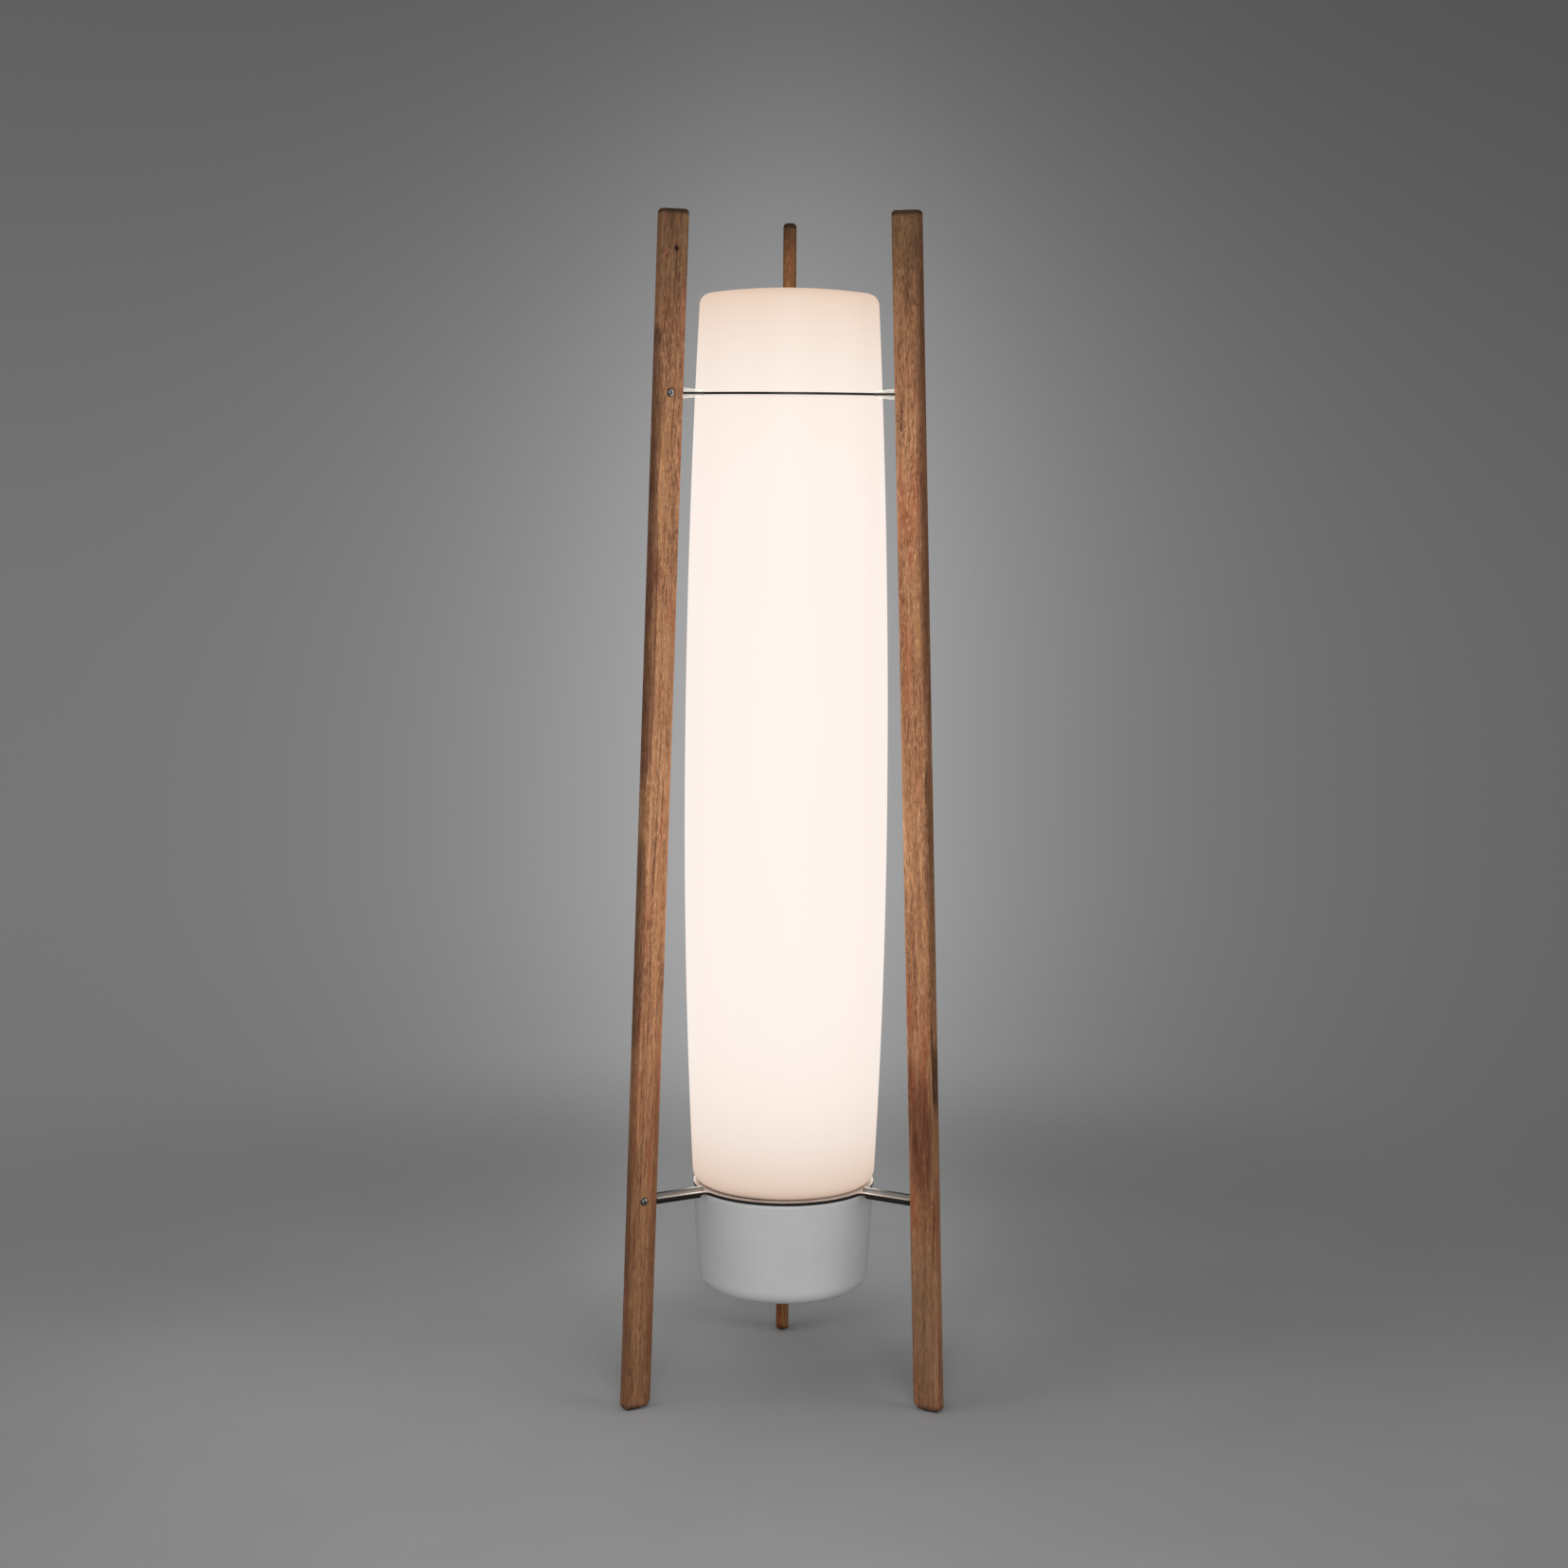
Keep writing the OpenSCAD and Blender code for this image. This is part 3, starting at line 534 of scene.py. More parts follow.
def steel(name, brush="ring", base=(0.42, 0.42, 0.43), dark=(0.24, 0.24, 0.25), rough=(0.26, 0.40), metal=1.0, painted_shade_below=None):
    """Brushed metal. brush is ring for lines round the axis, or a direction. Below the height in the last argument it
    is nearly black, a painted shade under the ring plate.
    """
    M = Mat(name)
    if brush == "ring":
        p = M.vmath("SUBTRACT", M.co(), (0, AY, 0))
        x, y, z = M.xyz(p)
        r = M.math("SQRT", M.math("ADD", M.math("MULTIPLY", x, x), M.math("MULTIPLY", y, y)))
        vec = M.combine(M.math("MULTIPLY", r, 2600.0), M.math("MULTIPLY", M.math("ARCTAN2", y, x), 5.0), M.math("MULTIPLY", z, 2600.0))
        line = M.noise(vec, 1.0, 3.0, 0.6)
    else:
        line = M.noise(M.scaled(M.co(), *brush), 1.0, 3.0, 0.6)
    blot = M.noise(M.scaled(M.co(), 40, 40, 40), 1.0, 4.0, 0.6)
    col = M.mix(M.remap(blot, 0.35, 0.7), M.mix(line, base, dark), tuple(0.8 * c for c in base))
    # painted shade: nearly black below the given height, where the ring plate shades the web under it
    if painted_shade_below:
        z = M.xyz(M.co())[2]
        edge = M.math("ADD", z, M.remap(blot, 0.3, 0.7, -0.0004, 0.0004))
        col = M.mix(M.remap(edge, painted_shade_below - 0.0006, painted_shade_below + 0.0004, 0.93, 0.0, smooth=True), col, (0.030, 0.027, 0.024))
    M.to(col, "Base Color")
    M.to(M.math("ADD", M.remap(line, 0.2, 0.8, rough[0], rough[1]), M.remap(blot, 0.3, 0.8, 0.0, 0.08)), "Roughness")
    M.bump(line, 0.18, 0.00005)
    M.set(Metallic=metal)
    return M.m


def moulded(name, col, rough=0.5, grain=1200, bump=0.12, var=0.08, metal=0.0):
    """Plain moulded plastic, rubber or plated metal with its own fine texture."""
    M = Mat(name)
    n = M.noise(M.scaled(M.co(), 60, 60, 60), 1.0, 4.0, 0.6)
    f = M.noise(M.scaled(M.co(), grain, grain, grain), 1.0, 2.0, 0.5)
    M.to(M.ramp(n, [(0.3, tuple(c * (1 - var) for c in col)), (0.7, tuple(min(1, c * (1 + var)) for c in col))]), "Base Color")
    M.to(M.remap(f, 0.3, 0.7, max(0.05, rough - 0.06), rough + 0.06), "Roughness")
    M.bump(f, bump, 0.0001)
    M.set(Metallic=metal)
    return M.m


# the glow by height (mm), as it looks; what the shell reflects of the studio is taken off it
# the barrel's glow in its middle, and what it loses towards each end: height of the end, length of the fade, loss. The
# first, 4 mm fade at the foot is a painted contact shadow where the barrel sits on the ring.
OPAL_LIT = (0.93, 0.83, 0.765)
OPAL_FADES_AND_CONTACT_SHADE = [(0.263, 0.004, (0.53, 0.40, 0.30)), (0.263, 0.065, (0.32, 0.40, 0.45)),
              (1.364, 0.075, (0.22, 0.32, 0.39)), (1.364, 0.008, (0.06, 0.08, 0.08))]
CUP_LOW = (0.705, 0.708, 0.712)
CUP_HIGH = (0.745, 0.748, 0.752)

MAT = {
    # the long soft dark patches near x = 0.017, on the outer edge of the front legs, are painted shade on the side
    # away from the lamp
    "wood_left": wood("wood_left", LEG["left"], 1.7,
                      knots=[(-0.0017, 1.405, 0.0026, 1.0), (0.0102, 1.3955, 0.0011, 0.9)],
                      stains_and_shade=[(0.0060, 1.436, 0.0045, 0.046, 0.65, (52, 34, 22), 0.0), (-0.0019, 1.392, 0.0013, 0.058, 0.85, (40, 22, 14), 0.2),
                              (0.0128, 1.3975, 0.0042, 0.0060, 0.62, (160, 66, 52), 0.3), (0.0130, 1.3978, 0.0018, 0.0024, 0.80, (184, 128, 98), 0.2),
                              (0.0175, 1.300, 0.0060, 0.024, 0.90, (50, 30, 20), 0.1), (0.0175, 1.200, 0.0085, 0.095, 0.62, (76, 44, 29), 0.80),
                              (0.0100, 1.025, 0.0090, 0.040, 0.60, (108, 54, 36), 0.0), (0.0118, 0.821, 0.0012, 0.070, 0.90, (44, 24, 16), 0.2),
                              (0.0170, 0.960, 0.0085, 0.200, 0.64, (80, 43, 28), 0.84), (0.0098, 0.900, 0.0007, 0.150, 0.75, (60, 34, 24), 0.3),
                              (0.0090, 0.700, 0.0006, 0.090, 0.80, (222, 176, 138), 0.2), (0.0175, 0.580, 0.0075, 0.140, 0.58, (78, 43, 28), 0.8),
                              (0.0170, 0.180, 0.0090, 0.230, 0.42, (78, 38, 18), 0.55),
                              (-0.0080, 0.640, 0.0050, 0.100, 0.35, (188, 116, 70), 0.1), (0.0030, 0.300, 0.0016, 0.160, 0.55, (200, 148, 106), 0.2),
                              (-0.0150, 0.520, 0.0065, 0.620, 0.26, (112, 66, 42), 0.6), (-0.0140, 0.160, 0.0090, 0.240, 0.34, (98, 50, 28), 0.5)],
                      foot=0.20),
    "wood_right": wood("wood_right", LEG["right"], 5.3,
                       knots=[(-0.0090, 0.402, 0.0012, 0.7)],
                       stains_and_shade=[(0.0000, 0.345, 0.0200, 0.105, 0.82, (100, 52, 37), 0.45), (0.0000, 0.110, 0.0300, 0.140, 0.42, (142, 113, 88), 0.4),
                               (-0.0060, 0.335, 0.0030, 0.040, 0.55, (74, 36, 24), 0.2), (0.0050, 0.372, 0.0022, 0.050, 0.55, (80, 40, 27), 0.2),
                               (0.0085, 0.300, 0.0028, 0.034, 0.50, (78, 42, 28), 0.2),
                               (0.0166, 0.462, 0.0013, 0.048, 0.85, (38, 22, 15), 0.2), (0.0178, 0.415, 0.0021, 0.058, 0.85, (36, 20, 14), 0.3),
                               (0.0132, 0.405, 0.0010, 0.040, 0.70, (58, 30, 20), 0.2), (0.0158, 0.246, 0.0016, 0.036, 0.80, (50, 28, 18), 0.3),
                               (0.0140, 0.205, 0.0026, 0.036, 0.70, (66, 38, 24), 0.2), (0.0172, 1.120, 0.0075, 0.300, 0.56, (90, 52, 35), 0.80),
                               (0.0172, 0.700, 0.0060, 0.110, 0.45, (96, 56, 38), 0.75),
                               (-0.0110, 0.500, 0.0065, 0.055, 0.60, (150, 70, 48), 0.1), (0.0120, 0.330, 0.0075, 0.080, 0.60, (92, 50, 34), 0.1),
                               (-0.0100, 0.410, 0.0065, 0.045, 0.60, (138, 64, 46), 0.1), (0.0150, 1.415, 0.0095, 0.055, 0.55, (72, 48, 34), 0.0),
                               (-0.0100, 1.120, 0.0080, 0.080, 0.40, (194, 118, 80), 0.0), (0.0040, 0.620, 0.0030, 0.080, 0.50, (104, 54, 36), 0.2),
                               (-0.0060, 0.900, 0.0090, 0.100, 0.45, (196, 122, 88), 0.1), (-0.0050, 0.550, 0.0008, 0.070, 0.75, (70, 36, 24), 0.2)],
                       foot=0.05),
    "wood_back": wood("wood_back", LEG["back"], 9.1,
                      stains_and_shade=[(-0.0180, 1.440, 0.0120, 0.030, 0.55, (66, 46, 30), 0.2), (-0.018, 0.100, 0.0120, 0.120, 0.30, (140, 88, 52), 0.0)],
                      tint=(0.86, 0.80, 0.68), gloss=0.12, foot=0.0),
    "opal": opal("opal_lit"),
    "cup": satin_shell("cup_satin"),
    "steel_ring": steel("steel_ring", base=(0.66, 0.65, 0.64), dark=(0.40, 0.39, 0.38), rough=(0.24, 0.36)),
    # the plates' edges and the studs: dark cut steel, made near black by painted shade
    "cut_edge_and_shade": steel("cut_edge_and_shade", brush=(300, 300, 1400), base=(0.050, 0.044, 0.038), dark=(0.022, 0.020, 0.018), rough=(0.34, 0.46), metal=0.7),
    # the lower webs: nearly black below the ring plate, a painted shade
    "steel_web": steel("steel_web", brush=(160, 160, 2200), base=(0.46, 0.45, 0.44), dark=(0.13, 0.125, 0.12), rough=(0.26, 0.40),
                       painted_shade_below=0.2600),
    # the upper webs and the lower ring: lighter and warmer copies of the steel, a painted reflection of the barrel's
    # glow
    "web_painted_glow": steel("web_painted_glow", brush=(160, 160, 2200), base=(0.72, 0.70, 0.67), dark=(0.40, 0.385, 0.37), rough=(0.40, 0.55), metal=0.5),
    "ring_painted_glow": steel("ring_painted_glow", base=(0.80, 0.74, 0.70), dark=(0.58, 0.53, 0.50), rough=(0.34, 0.48), metal=0.55),
    "screw": steel("screw_steel", brush=(1500, 1500, 1500), base=(0.23, 0.23, 0.235), dark=(0.12, 0.12, 0.125), rough=(0.30, 0.44)),
    "felt": moulded("felt_pad", (0.045, 0.04, 0.036), 0.92, 1800, 0.6, 0.25),
    "rubber": moulded("rubber_black", (0.028, 0.028, 0.03), 0.72, 1400, 0.2, 0.15),
    "nylon": moulded("nylon_black", (0.035, 0.035, 0.04), 0.46, 1100, 0.12, 0.12),
    "white": moulded("plastic_white", (0.70, 0.70, 0.68), 0.46, 1300, 0.14, 0.04),
    "board": moulded("board_white", (0.82, 0.82, 0.80), 0.30, 700, 0.05, 0.03),
    "sheath": moulded("lead_sheath", (0.72, 0.71, 0.68), 0.50, 900, 0.08, 0.04),
    "clear": moulded("sheet_clear", (0.80, 0.84, 0.86), 0.12, 500, 0.02, 0.02),
    "zinc": steel("zinc_plated", brush=(400, 400, 400), base=(0.56, 0.57, 0.58), dark=(0.42, 0.43, 0.45), rough=(0.34, 0.48)),
    "alloy": steel("alloy_drawn", brush=(1600, 1600, 8), base=(0.66, 0.67, 0.68), dark=(0.52, 0.53, 0.54), rough=(0.30, 0.44)),
    "brass": steel("brass_plain", brush=(700, 700, 700), base=(0.62, 0.44, 0.16), dark=(0.48, 0.33, 0.12), rough=(0.28, 0.42)),
}

# the light emitters glow, though the closed barrel hides them
E = Mat("emitter_phosphor")
E.to(E.ramp(E.noise(E.scaled(E.co(), 800, 800, 800)), [(0.3, (0.80, 0.62, 0.16)), (0.7, (0.92, 0.74, 0.24))]), "Base Color")
E.set(Roughness=0.4, Emission_Color=(1.0, 0.85, 0.62, 1), Emission_Strength=1.5)
MAT["emitter"] = E.m

LIT = []        # steel pieces that take the lamp's own light

# ---------------------------------------------------------------- legs
def corner_rows(hw, ht, r, seg=7):
    """One section of the bar: points round a rectangle 2 hw by 2 ht with corner radius r."""
    pts = []
    for sx, sy, a0 in ((1, 1, 0), (-1, 1, 90), (-1, -1, 180), (1, -1, 270)):
        cx, cy = sx * (hw - r), sy * (ht - r)
        for i in range(seg + 1):
            a = D(a0 + 90 * i / seg)
            pts.append((cx + r * math.cos(a), cy + r * math.sin(a)))
    return pts


def leg_mesh(name, az):
    """A leaning bar with level, rounded ends. The foot's inner corner is rounded more than the others."""
    top_r, out_r, toe_r = 5.0, 5.0, 11.0
    side_top, side_foot = 5.5, 4.0
    z0, z1 = 2.0, TOP_Z
    hw, ht = WIDE / 2 / math.cos(LEAN), THICK / 2
    levels = []

    def inset(r, d):
        """How far the outline draws in at distance d from a flat end, for a rounding of radius r."""
        if d >= r:
            return 0.0
        return r - math.sqrt(max(r * r - (r - d) ** 2, 0.0))

    n_end = 9
    foot = sorted({round(toe_r * (1 - math.cos(D(90 * i / n_end))), 4) for i in range(n_end + 1)} | {out_r, side_foot})
    head = sorted({round(side_top * (1 - math.cos(D(90 * i / n_end))), 4) for i in range(n_end + 1)} | {top_r})
    zs = [z0 + d for d in foot] + [z0 + 12 + i * (z1 - z0 - 24) / 46 for i in range(47)] + [z1 - d for d in reversed(head)]
    verts, rings = [], []
    for z in zs:
        df, dh = z - z0, z1 - z
        i_out = max(inset(out_r, df), inset(top_r, dh))
        i_in = max(inset(toe_r, df), inset(top_r, dh))
        i_t = max(inset(side_foot, df), inset(side_top, dh))
        m = leg_r(z)
        x_lo, x_hi = m - hw + i_in, m + hw - i_out - 0.1
        h_t = ht - i_t - 0.03
        r = max(0.25, EDGE_R - max(i_out, i_t) * 0.8)
        cx, half = (x_lo + x_hi) / 2, (x_hi - x_lo) / 2
        ring = []
        for px, py in corner_rows(half, h_t, r):
            ring.append(len(verts))
            verts.append(((cx + px) * MM, py * MM, z * MM))
        rings.append(ring)
    faces = [tuple(reversed(rings[0])), tuple(rings[-1])]
    n = len(rings[0])
    for a, b in zip(rings, rings[1:]):
        for i in range(n):
            j = (i + 1) % n
            faces.append((a[i], a[j], b[j], b[i]))
    o = mesh_object(name, verts, faces)
    # pockets for the tongues and the screws
    cutters = []
    for zr, h in ((UP_Z, 13.2), (LOW_Z, 13.8)):
        f = leg_face_r(zr)
        x0, x1 = f - 2, leg_r(zr) + 7
        bx = bmesh.new()
        bmesh.ops.create_cube(bx, size=1.0)
        bmesh.ops.scale(bx, vec=((x1 - x0) * MM, 4.3 * MM, (h + 0.3) * MM), verts=bx.verts)
        bmesh.ops.translate(bx, vec=((x0 + x1) / 2 * MM, 0, zr * MM), verts=bx.verts)
        me = bpy.data.meshes.new("cut")
        bx.to_mesh(me)
        bx.free()
        cutters.append(link(bpy.data.objects.new("cut", me)))
        prof = [(0, -5.5), (2.65, -5.5), (2.65, 7.05), (5.1, 7.05), (5.1, 7.75), (5.55, 8.25), (5.6, 12), (0, 12)]
        v, fc = lathe_data(prof, 40)
        rot = Matrix.Rotation(D(-90), 4, "X")
        v = [rot @ Vector(p) + Vector((leg_r(zr) * MM, 0, zr * MM)) for p in v]
        cutters.append(mesh_object("cut", v, fc))
    for c in cutters:
        md = o.modifiers.new("cut", "BOOLEAN")
        md.operation, md.object, md.solver = "DIFFERENCE", c, "EXACT"
    bpy.context.view_layer.update()
    me = bpy.data.meshes.new_from_object(o.evaluated_get(bpy.context.evaluated_depsgraph_get()))
    o.modifiers.clear()
    o.data = me
    me.name = name
    for c in cutters:
        bpy.data.objects.remove(c)
    for p in me.polygons:
        p.use_smooth = True
    sharp_by_angle(o, 38)
    wn = o.modifiers.new("even", "WEIGHTED_NORMAL")
    wn.keep_sharp, wn.weight, wn.mode = True, 60, "FACE_AREA"
    move(o, at_azimuth(az))
    return o


for side, az in LEG.items():
    o = leg_mesh("leg_" + side + "_wood", az)
    dress(o, MAT["wood_" + side])
    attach(o, STAND)
    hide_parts("leg_" + side)

# ---------------------------------------------------------------- steel rings, tabs and webs
def ring_outline(r_out, lap, tab_end):
    """Outer outline of a ring with three flared and slotted tabs, anticlockwise."""
    pts = []
    cx = math.sqrt((r_out + FLARE) ** 2 - (TAB_W / 2 + FLARE) ** 2)
    cy = TAB_W / 2 + FLARE
    phi = math.degrees(math.atan2(cy, cx))
    azs = sorted(LEG.values())
    hw, s = TAB_W / 2, WEB_T / 2 + 0.05
    for k, az in enumerate(azs):
        loc = []
        # flare on the clockwise side, from the ring to the tab
        a0, a1 = 180 - phi, 90
        for i in range(0, 9):
            a = a0 + (a1 - a0) * i / 8
            loc.append((cx + FLARE * math.cos(D(a)), -cy + FLARE * math.sin(D(a))))
        loc += [(tab_end - 0.8, -hw), (tab_end, -hw + 0.8), (tab_end, -s), (lap, -s), (lap, s), (tab_end, s), (tab_end, hw - 0.8), (tab_end - 0.8, hw)]
        for i in range(8, -1, -1):
            a = a0 + (a1 - a0) * i / 8
            loc.append((cx + FLARE * math.cos(D(a)), cy - FLARE * math.sin(D(a))))
        c, sn = math.cos(D(az)), math.sin(D(az))
        pts += [(x * c - y * sn, x * sn + y * c) for x, y in loc]
        b0, b1 = az + phi, (azs[(k + 1) % 3] + (360 if k == 2 else 0)) - phi
        n = 40
        pts += [(r_out * math.cos(D(b0 + (b1 - b0) * i / n)), r_out * math.sin(D(b0 + (b1 - b0) * i / n))) for i in range(1, n)]
    return pts


def circle_pts(r, n=144):
    return [(r * math.cos(2 * math.pi * i / n), r * math.sin(2 * math.pi * i / n)) for i in range(n)]


def stud(x, y, z_top, z_bot, r=2.5, pitch=0.8):
    """A threaded stud: a crest and a root for each turn, with a chamfered end."""
    prof = [(0, z_bot), (r - 0.7, z_bot), (r - 0.15, z_bot + 0.6)]
    z = z_bot + 0.8
    while z + pitch < z_top - 0.4:
        prof += [(r - 0.02, z), (r - 0.35, z + pitch * 0.45)]
        z += pitch
    prof += [(r, z), (r, z_top), (0, z_top)]
    v, f = lathe_data(prof, 28, x, y)
    return mesh_object("stud", v, f)


for nm, z, r_in, r_out, lap in (("upper", UP_Z, UP_IN, UP_OUT, UP_OUT + 13), ("lower", LOW_Z, LOW_IN, LOW_OUT, LOW_OUT + 34)):
    outline = ring_outline(r_out, lap, leg_face_r(z) - 0.3)
    o = plate(nm + "_ring_plate", [outline, circle_pts(r_in)], RING_T, 0.35)
    move(o, Matrix.Translation((0, AY, z * MM)))
    if nm == "lower":
        studs = []
        for a in BETWEEN:
            studs.append(stud(98 * math.cos(D(a)), 98 * math.sin(D(a)), LOW_Z - 1.5, LOW_Z - 12.5))
            move(studs[-1], Matrix.Translation((0, AY, 0)))
        for st in studs:
            for p in st.data.polygons:
                p.material_index = 1
        o = join([o] + studs, "lower_ring_plate")
    dress(o, MAT["steel_ring" if nm == "upper" else "ring_painted_glow"], MAT["cut_edge_and_shade"])
    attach(o, STAND)
    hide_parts(nm + "_ring")
    LIT.append(o.name)

for nm, z, lap in (("upper", UP_Z, UP_OUT + 13), ("lower", LOW_Z, LOW_OUT + 34)):
    tip = leg_r(z) + 6.5
    f = leg_face_r(z)
    s = RING_T / 2 + 0.05
    if nm == "upper":
        r0, h, t = UP_OUT - 3, 6.6, 3.2
        outline = [(r0, -t + 1), (r0 + 1, -t), (f, -h), (tip - 1, -h), (tip, -h + 1), (tip, h - 1), (tip - 1, h), (f, h),
                   (r0 + 1, t), (r0, t - 1), (r0, s), (lap, s), (lap, -s), (r0, -s)]
    else:
        r0, h = LOW_OUT + 1.2, 6.9
        outline = [(r0, -h + 5.2), (r0 + 5.2, -h), (tip - 1, -h), (tip, -h + 1), (tip, h - 1), (tip - 1, h), (r0 + 1, h),
                   (r0, h - 1), (r0, s), (lap, s), (lap, -s), (r0, -s)]
    for side, az in LEG.items():
        o = plate(nm + "_web_plate_" + side, [outline], WEB_T, 0.35)
        # stands up along the arm
        move(o, at_azimuth(az) @ Matrix.Translation((0, 0, z * MM)) @ Matrix.Rotation(D(90), 4, "X"))
        dress(o, MAT["web_painted_glow" if nm == "upper" else "steel_web"], MAT["web_painted_glow" if nm == "upper" else "cut_edge_and_shade"])
        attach(o, STAND)
        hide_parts(nm + "_web_" + side)
        LIT.append(o.name)


def button_head():
    """Domed head with a six-sided socket, its shank below. The head sits on z = 0."""
    seg = 48
    R, H, c, rs = 4.75, 2.75, -2.05, 5.32
    prof = [(0, -12), (1.9, -12), (2.5, -11.3)]
    z = -11.0
    while z < -1.6:
        prof += [(2.48, z), (2.12, z + 0.36)]
        z += 0.8
    prof += [(2.5, -0.6), (2.5, 0), (R - 0.15, 0), (R, 0.15)]
    for i in range(0, 9):
        zz = 0.45 + (H - 0.12 - 0.45) * i / 8
        prof.append((math.sqrt(rs * rs - (zz - c) ** 2), zz))
    top_r = math.sqrt(rs * rs - (H - 0.12 - c) ** 2)
    prof.append((top_r - 0.25, H))
    v, f = lathe_data(prof, seg)
    last = len(v) - seg

    def ring_hex(ap, zz, soft=0.0):
        out = []
        for i in range(seg):
            a = 360.0 * i / seg
            k = ap / math.cos(D(((a + 30) % 60) - 30)) if soft == 0 else ap
            out.append((k * math.cos(D(a)) * MM, k * math.sin(D(a)) * MM, zz * MM))
        return out

    loops = [ring_hex(1.62, H, 0), ring_hex(1.50, H - 0.12, 0), ring_hex(1.50, H - 1.6, 0), ring_hex(0.6, H - 1.75, 1)]
    prev = list(range(last, last + seg))
    for lp in loops:
        cur = list(range(len(v), len(v) + seg))
        v += lp
        for i in range(seg):
            j = (i + 1) % seg
            f.append((prev[i], cur[i], cur[j], prev[j]))
        prev = cur
    v.append((0, 0, (H - 2.0) * MM))
    for i in range(seg):
        f.append((prev[i], len(v) - 1, prev[(i + 1) % seg]))
    return v, f


hv, hf = button_head()
for nm, z in (("upper", UP_Z), ("lower", LOW_Z)):
    parts = []
    for k, (side, az) in enumerate(LEG.items()):
        m = (at_azimuth(az) @ Matrix.Translation((leg_r(z) * MM, (THICK / 2 - 1.2) * MM, z * MM))
             @ Matrix.Rotation(D(-90), 4, "X") @ Matrix.Rotation(D(17 + 23 * k + z), 4, "Z"))
        s = mesh_object("screw", [m @ Vector(p) for p in hv], hf)
        sharp_by_angle(s, 35)
        parts.append(s)
    o = join(parts, nm + "_button_screws")
    dress(o, MAT["screw"])
    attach(o, STAND)
    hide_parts(nm + "_leg_screws")
    LIT.append(o.name)

# ---------------------------------------------------------------- barrel and cup
BR, BMID, UR, LR = 124.6, 725.0, 11600.0, 9000.0
UCX, LCX = BR - UR, BR - LR


def ang(z, R, o=0.0):
    return math.degrees(math.asin((z - BMID) / (R - o)))


def low_r(z, o=0.0):
    return LCX + (LR - o) * math.cos(D(ang(z, LR, o)))


SH, CR, FT = 14.0, 700.0, 16.0
low_top = LOW_Z + RING_T / 2
sh_z = 1356.0 - SH
sh_a = math.degrees(math.asin((sh_z - BMID) / (UR - SH)))
sh_r = UCX + (UR - SH) * math.cos(D(sh_a))
cr_a = math.degrees(math.acos(sh_r / (CR - SH)))
cr_z = sh_z - (CR - SH) * math.sin(D(cr_a))
ft_z = low_top + FT
ft_a = ang(ft_z, LR, FT)
ft_r = low_r(ft_z, FT)
neck_out, neck_in = LOW_IN - 0.5, LOW_IN - 3.5


def barrel_side(o, fine):
    p = arc(ft_r, ft_z, FT - o, -90, ft_a, 14 if fine else 8)
    n = 40 if fine else 12
    p += [(LCX + (LR - o) * math.cos(D(ft_a * (1 - i / n))), BMID + (LR - o) * math.sin(D(ft_a * (1 - i / n)))) for i in range(1, n + 1)]
    n = 48 if fine else 14
    p += [(UCX + (UR - o) * math.cos(D(sh_a * i / n)), BMID + (UR - o) * math.sin(D(sh_a * i / n))) for i in range(1, n + 1)]
    p += arc(sh_r, sh_z, SH - o, sh_a, cr_a, 16 if fine else 8, 1)
    n = 16 if fine else 6
    p += [((CR - o) * math.cos(D(cr_a + (90 - cr_a) * i / n)), cr_z + (CR - o) * math.sin(D(cr_a + (90 - cr_a) * i / n))) for i in range(1, n)]
    p.append((0.0, cr_z + CR - o))
    return p


u = LOW_Z - RING_T / 2
shell = [(neck_in, u), (neck_out, u), (neck_out, low_top - 0.6), (neck_out + 0.4, low_top)] + barrel_side(0.012, True)
inner = list(reversed(barrel_side(3.0, False))) + [(neck_in, low_top + 3)]
v, f = lathe_data(shell, 160)
o1 = mesh_object("b1", [(x, y + AY, z) for x, y, z in v], f)
v, f = lathe_data(inner + [(neck_in, u)], 160)
o2 = mesh_object("b2", [(x, y + AY, z) for x, y, z in v], f)
barrel = join([o1, o2], "opal_barrel")
bm = bmesh.new()
bm.from_mesh(barrel.data)
bmesh.ops.remove_doubles(bm, verts=bm.verts, dist=2e-6)
bmesh.ops.recalc_face_normals(bm, faces=bm.faces)
bm.to_mesh(barrel.data)
bm.free()
for p in barrel.data.polygons:
    p.use_smooth = True
sharp_by_angle(barrel, 40)
dress(barrel, MAT["opal"])
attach(barrel, STAND)
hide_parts("diffuser")

CB, CW, CC = 129.5, 2.5, 18.0
rim = u - 0.3 - 1.0
cc_z = CB + CC
cc_a = ang(cc_z, LR, CC)
cc_r = low_r(cc_z, CC)


def cup_side(o, n_arc=14, n=24):
    p = arc(cc_r, cc_z, CC - o, -90, cc_a, n_arc)
    a1 = ang(rim - (0.35 if o == 0 else 0.35), LR, o)
    p += [(LCX + (LR - o) * math.cos(D(cc_a + (a1 - cc_a) * i / n)), BMID + (LR - o) * math.sin(D(cc_a + (a1 - cc_a) * i / n))) for i in range(1, n + 1)]
    return p


outer, inn = cup_side(0.0), cup_side(CW)
hole = 6.05
prof = ([(hole, CB + 0.25), (hole + 0.25, CB)] + [(hole + (cc_r - hole) * i / 6, CB) for i in range(1, 6)] + outer
        + [(outer[-1][0] - 0.35, rim), (inn[-1][0] + 0.35, rim)] + list(reversed(inn)) + [(hole, CB + CW)])
cup = lathe("cup_shell", prof, 160, closed=True, sharp=50)
dress(cup, MAT["cup"])
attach(cup, COVER)
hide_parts("base_cover")

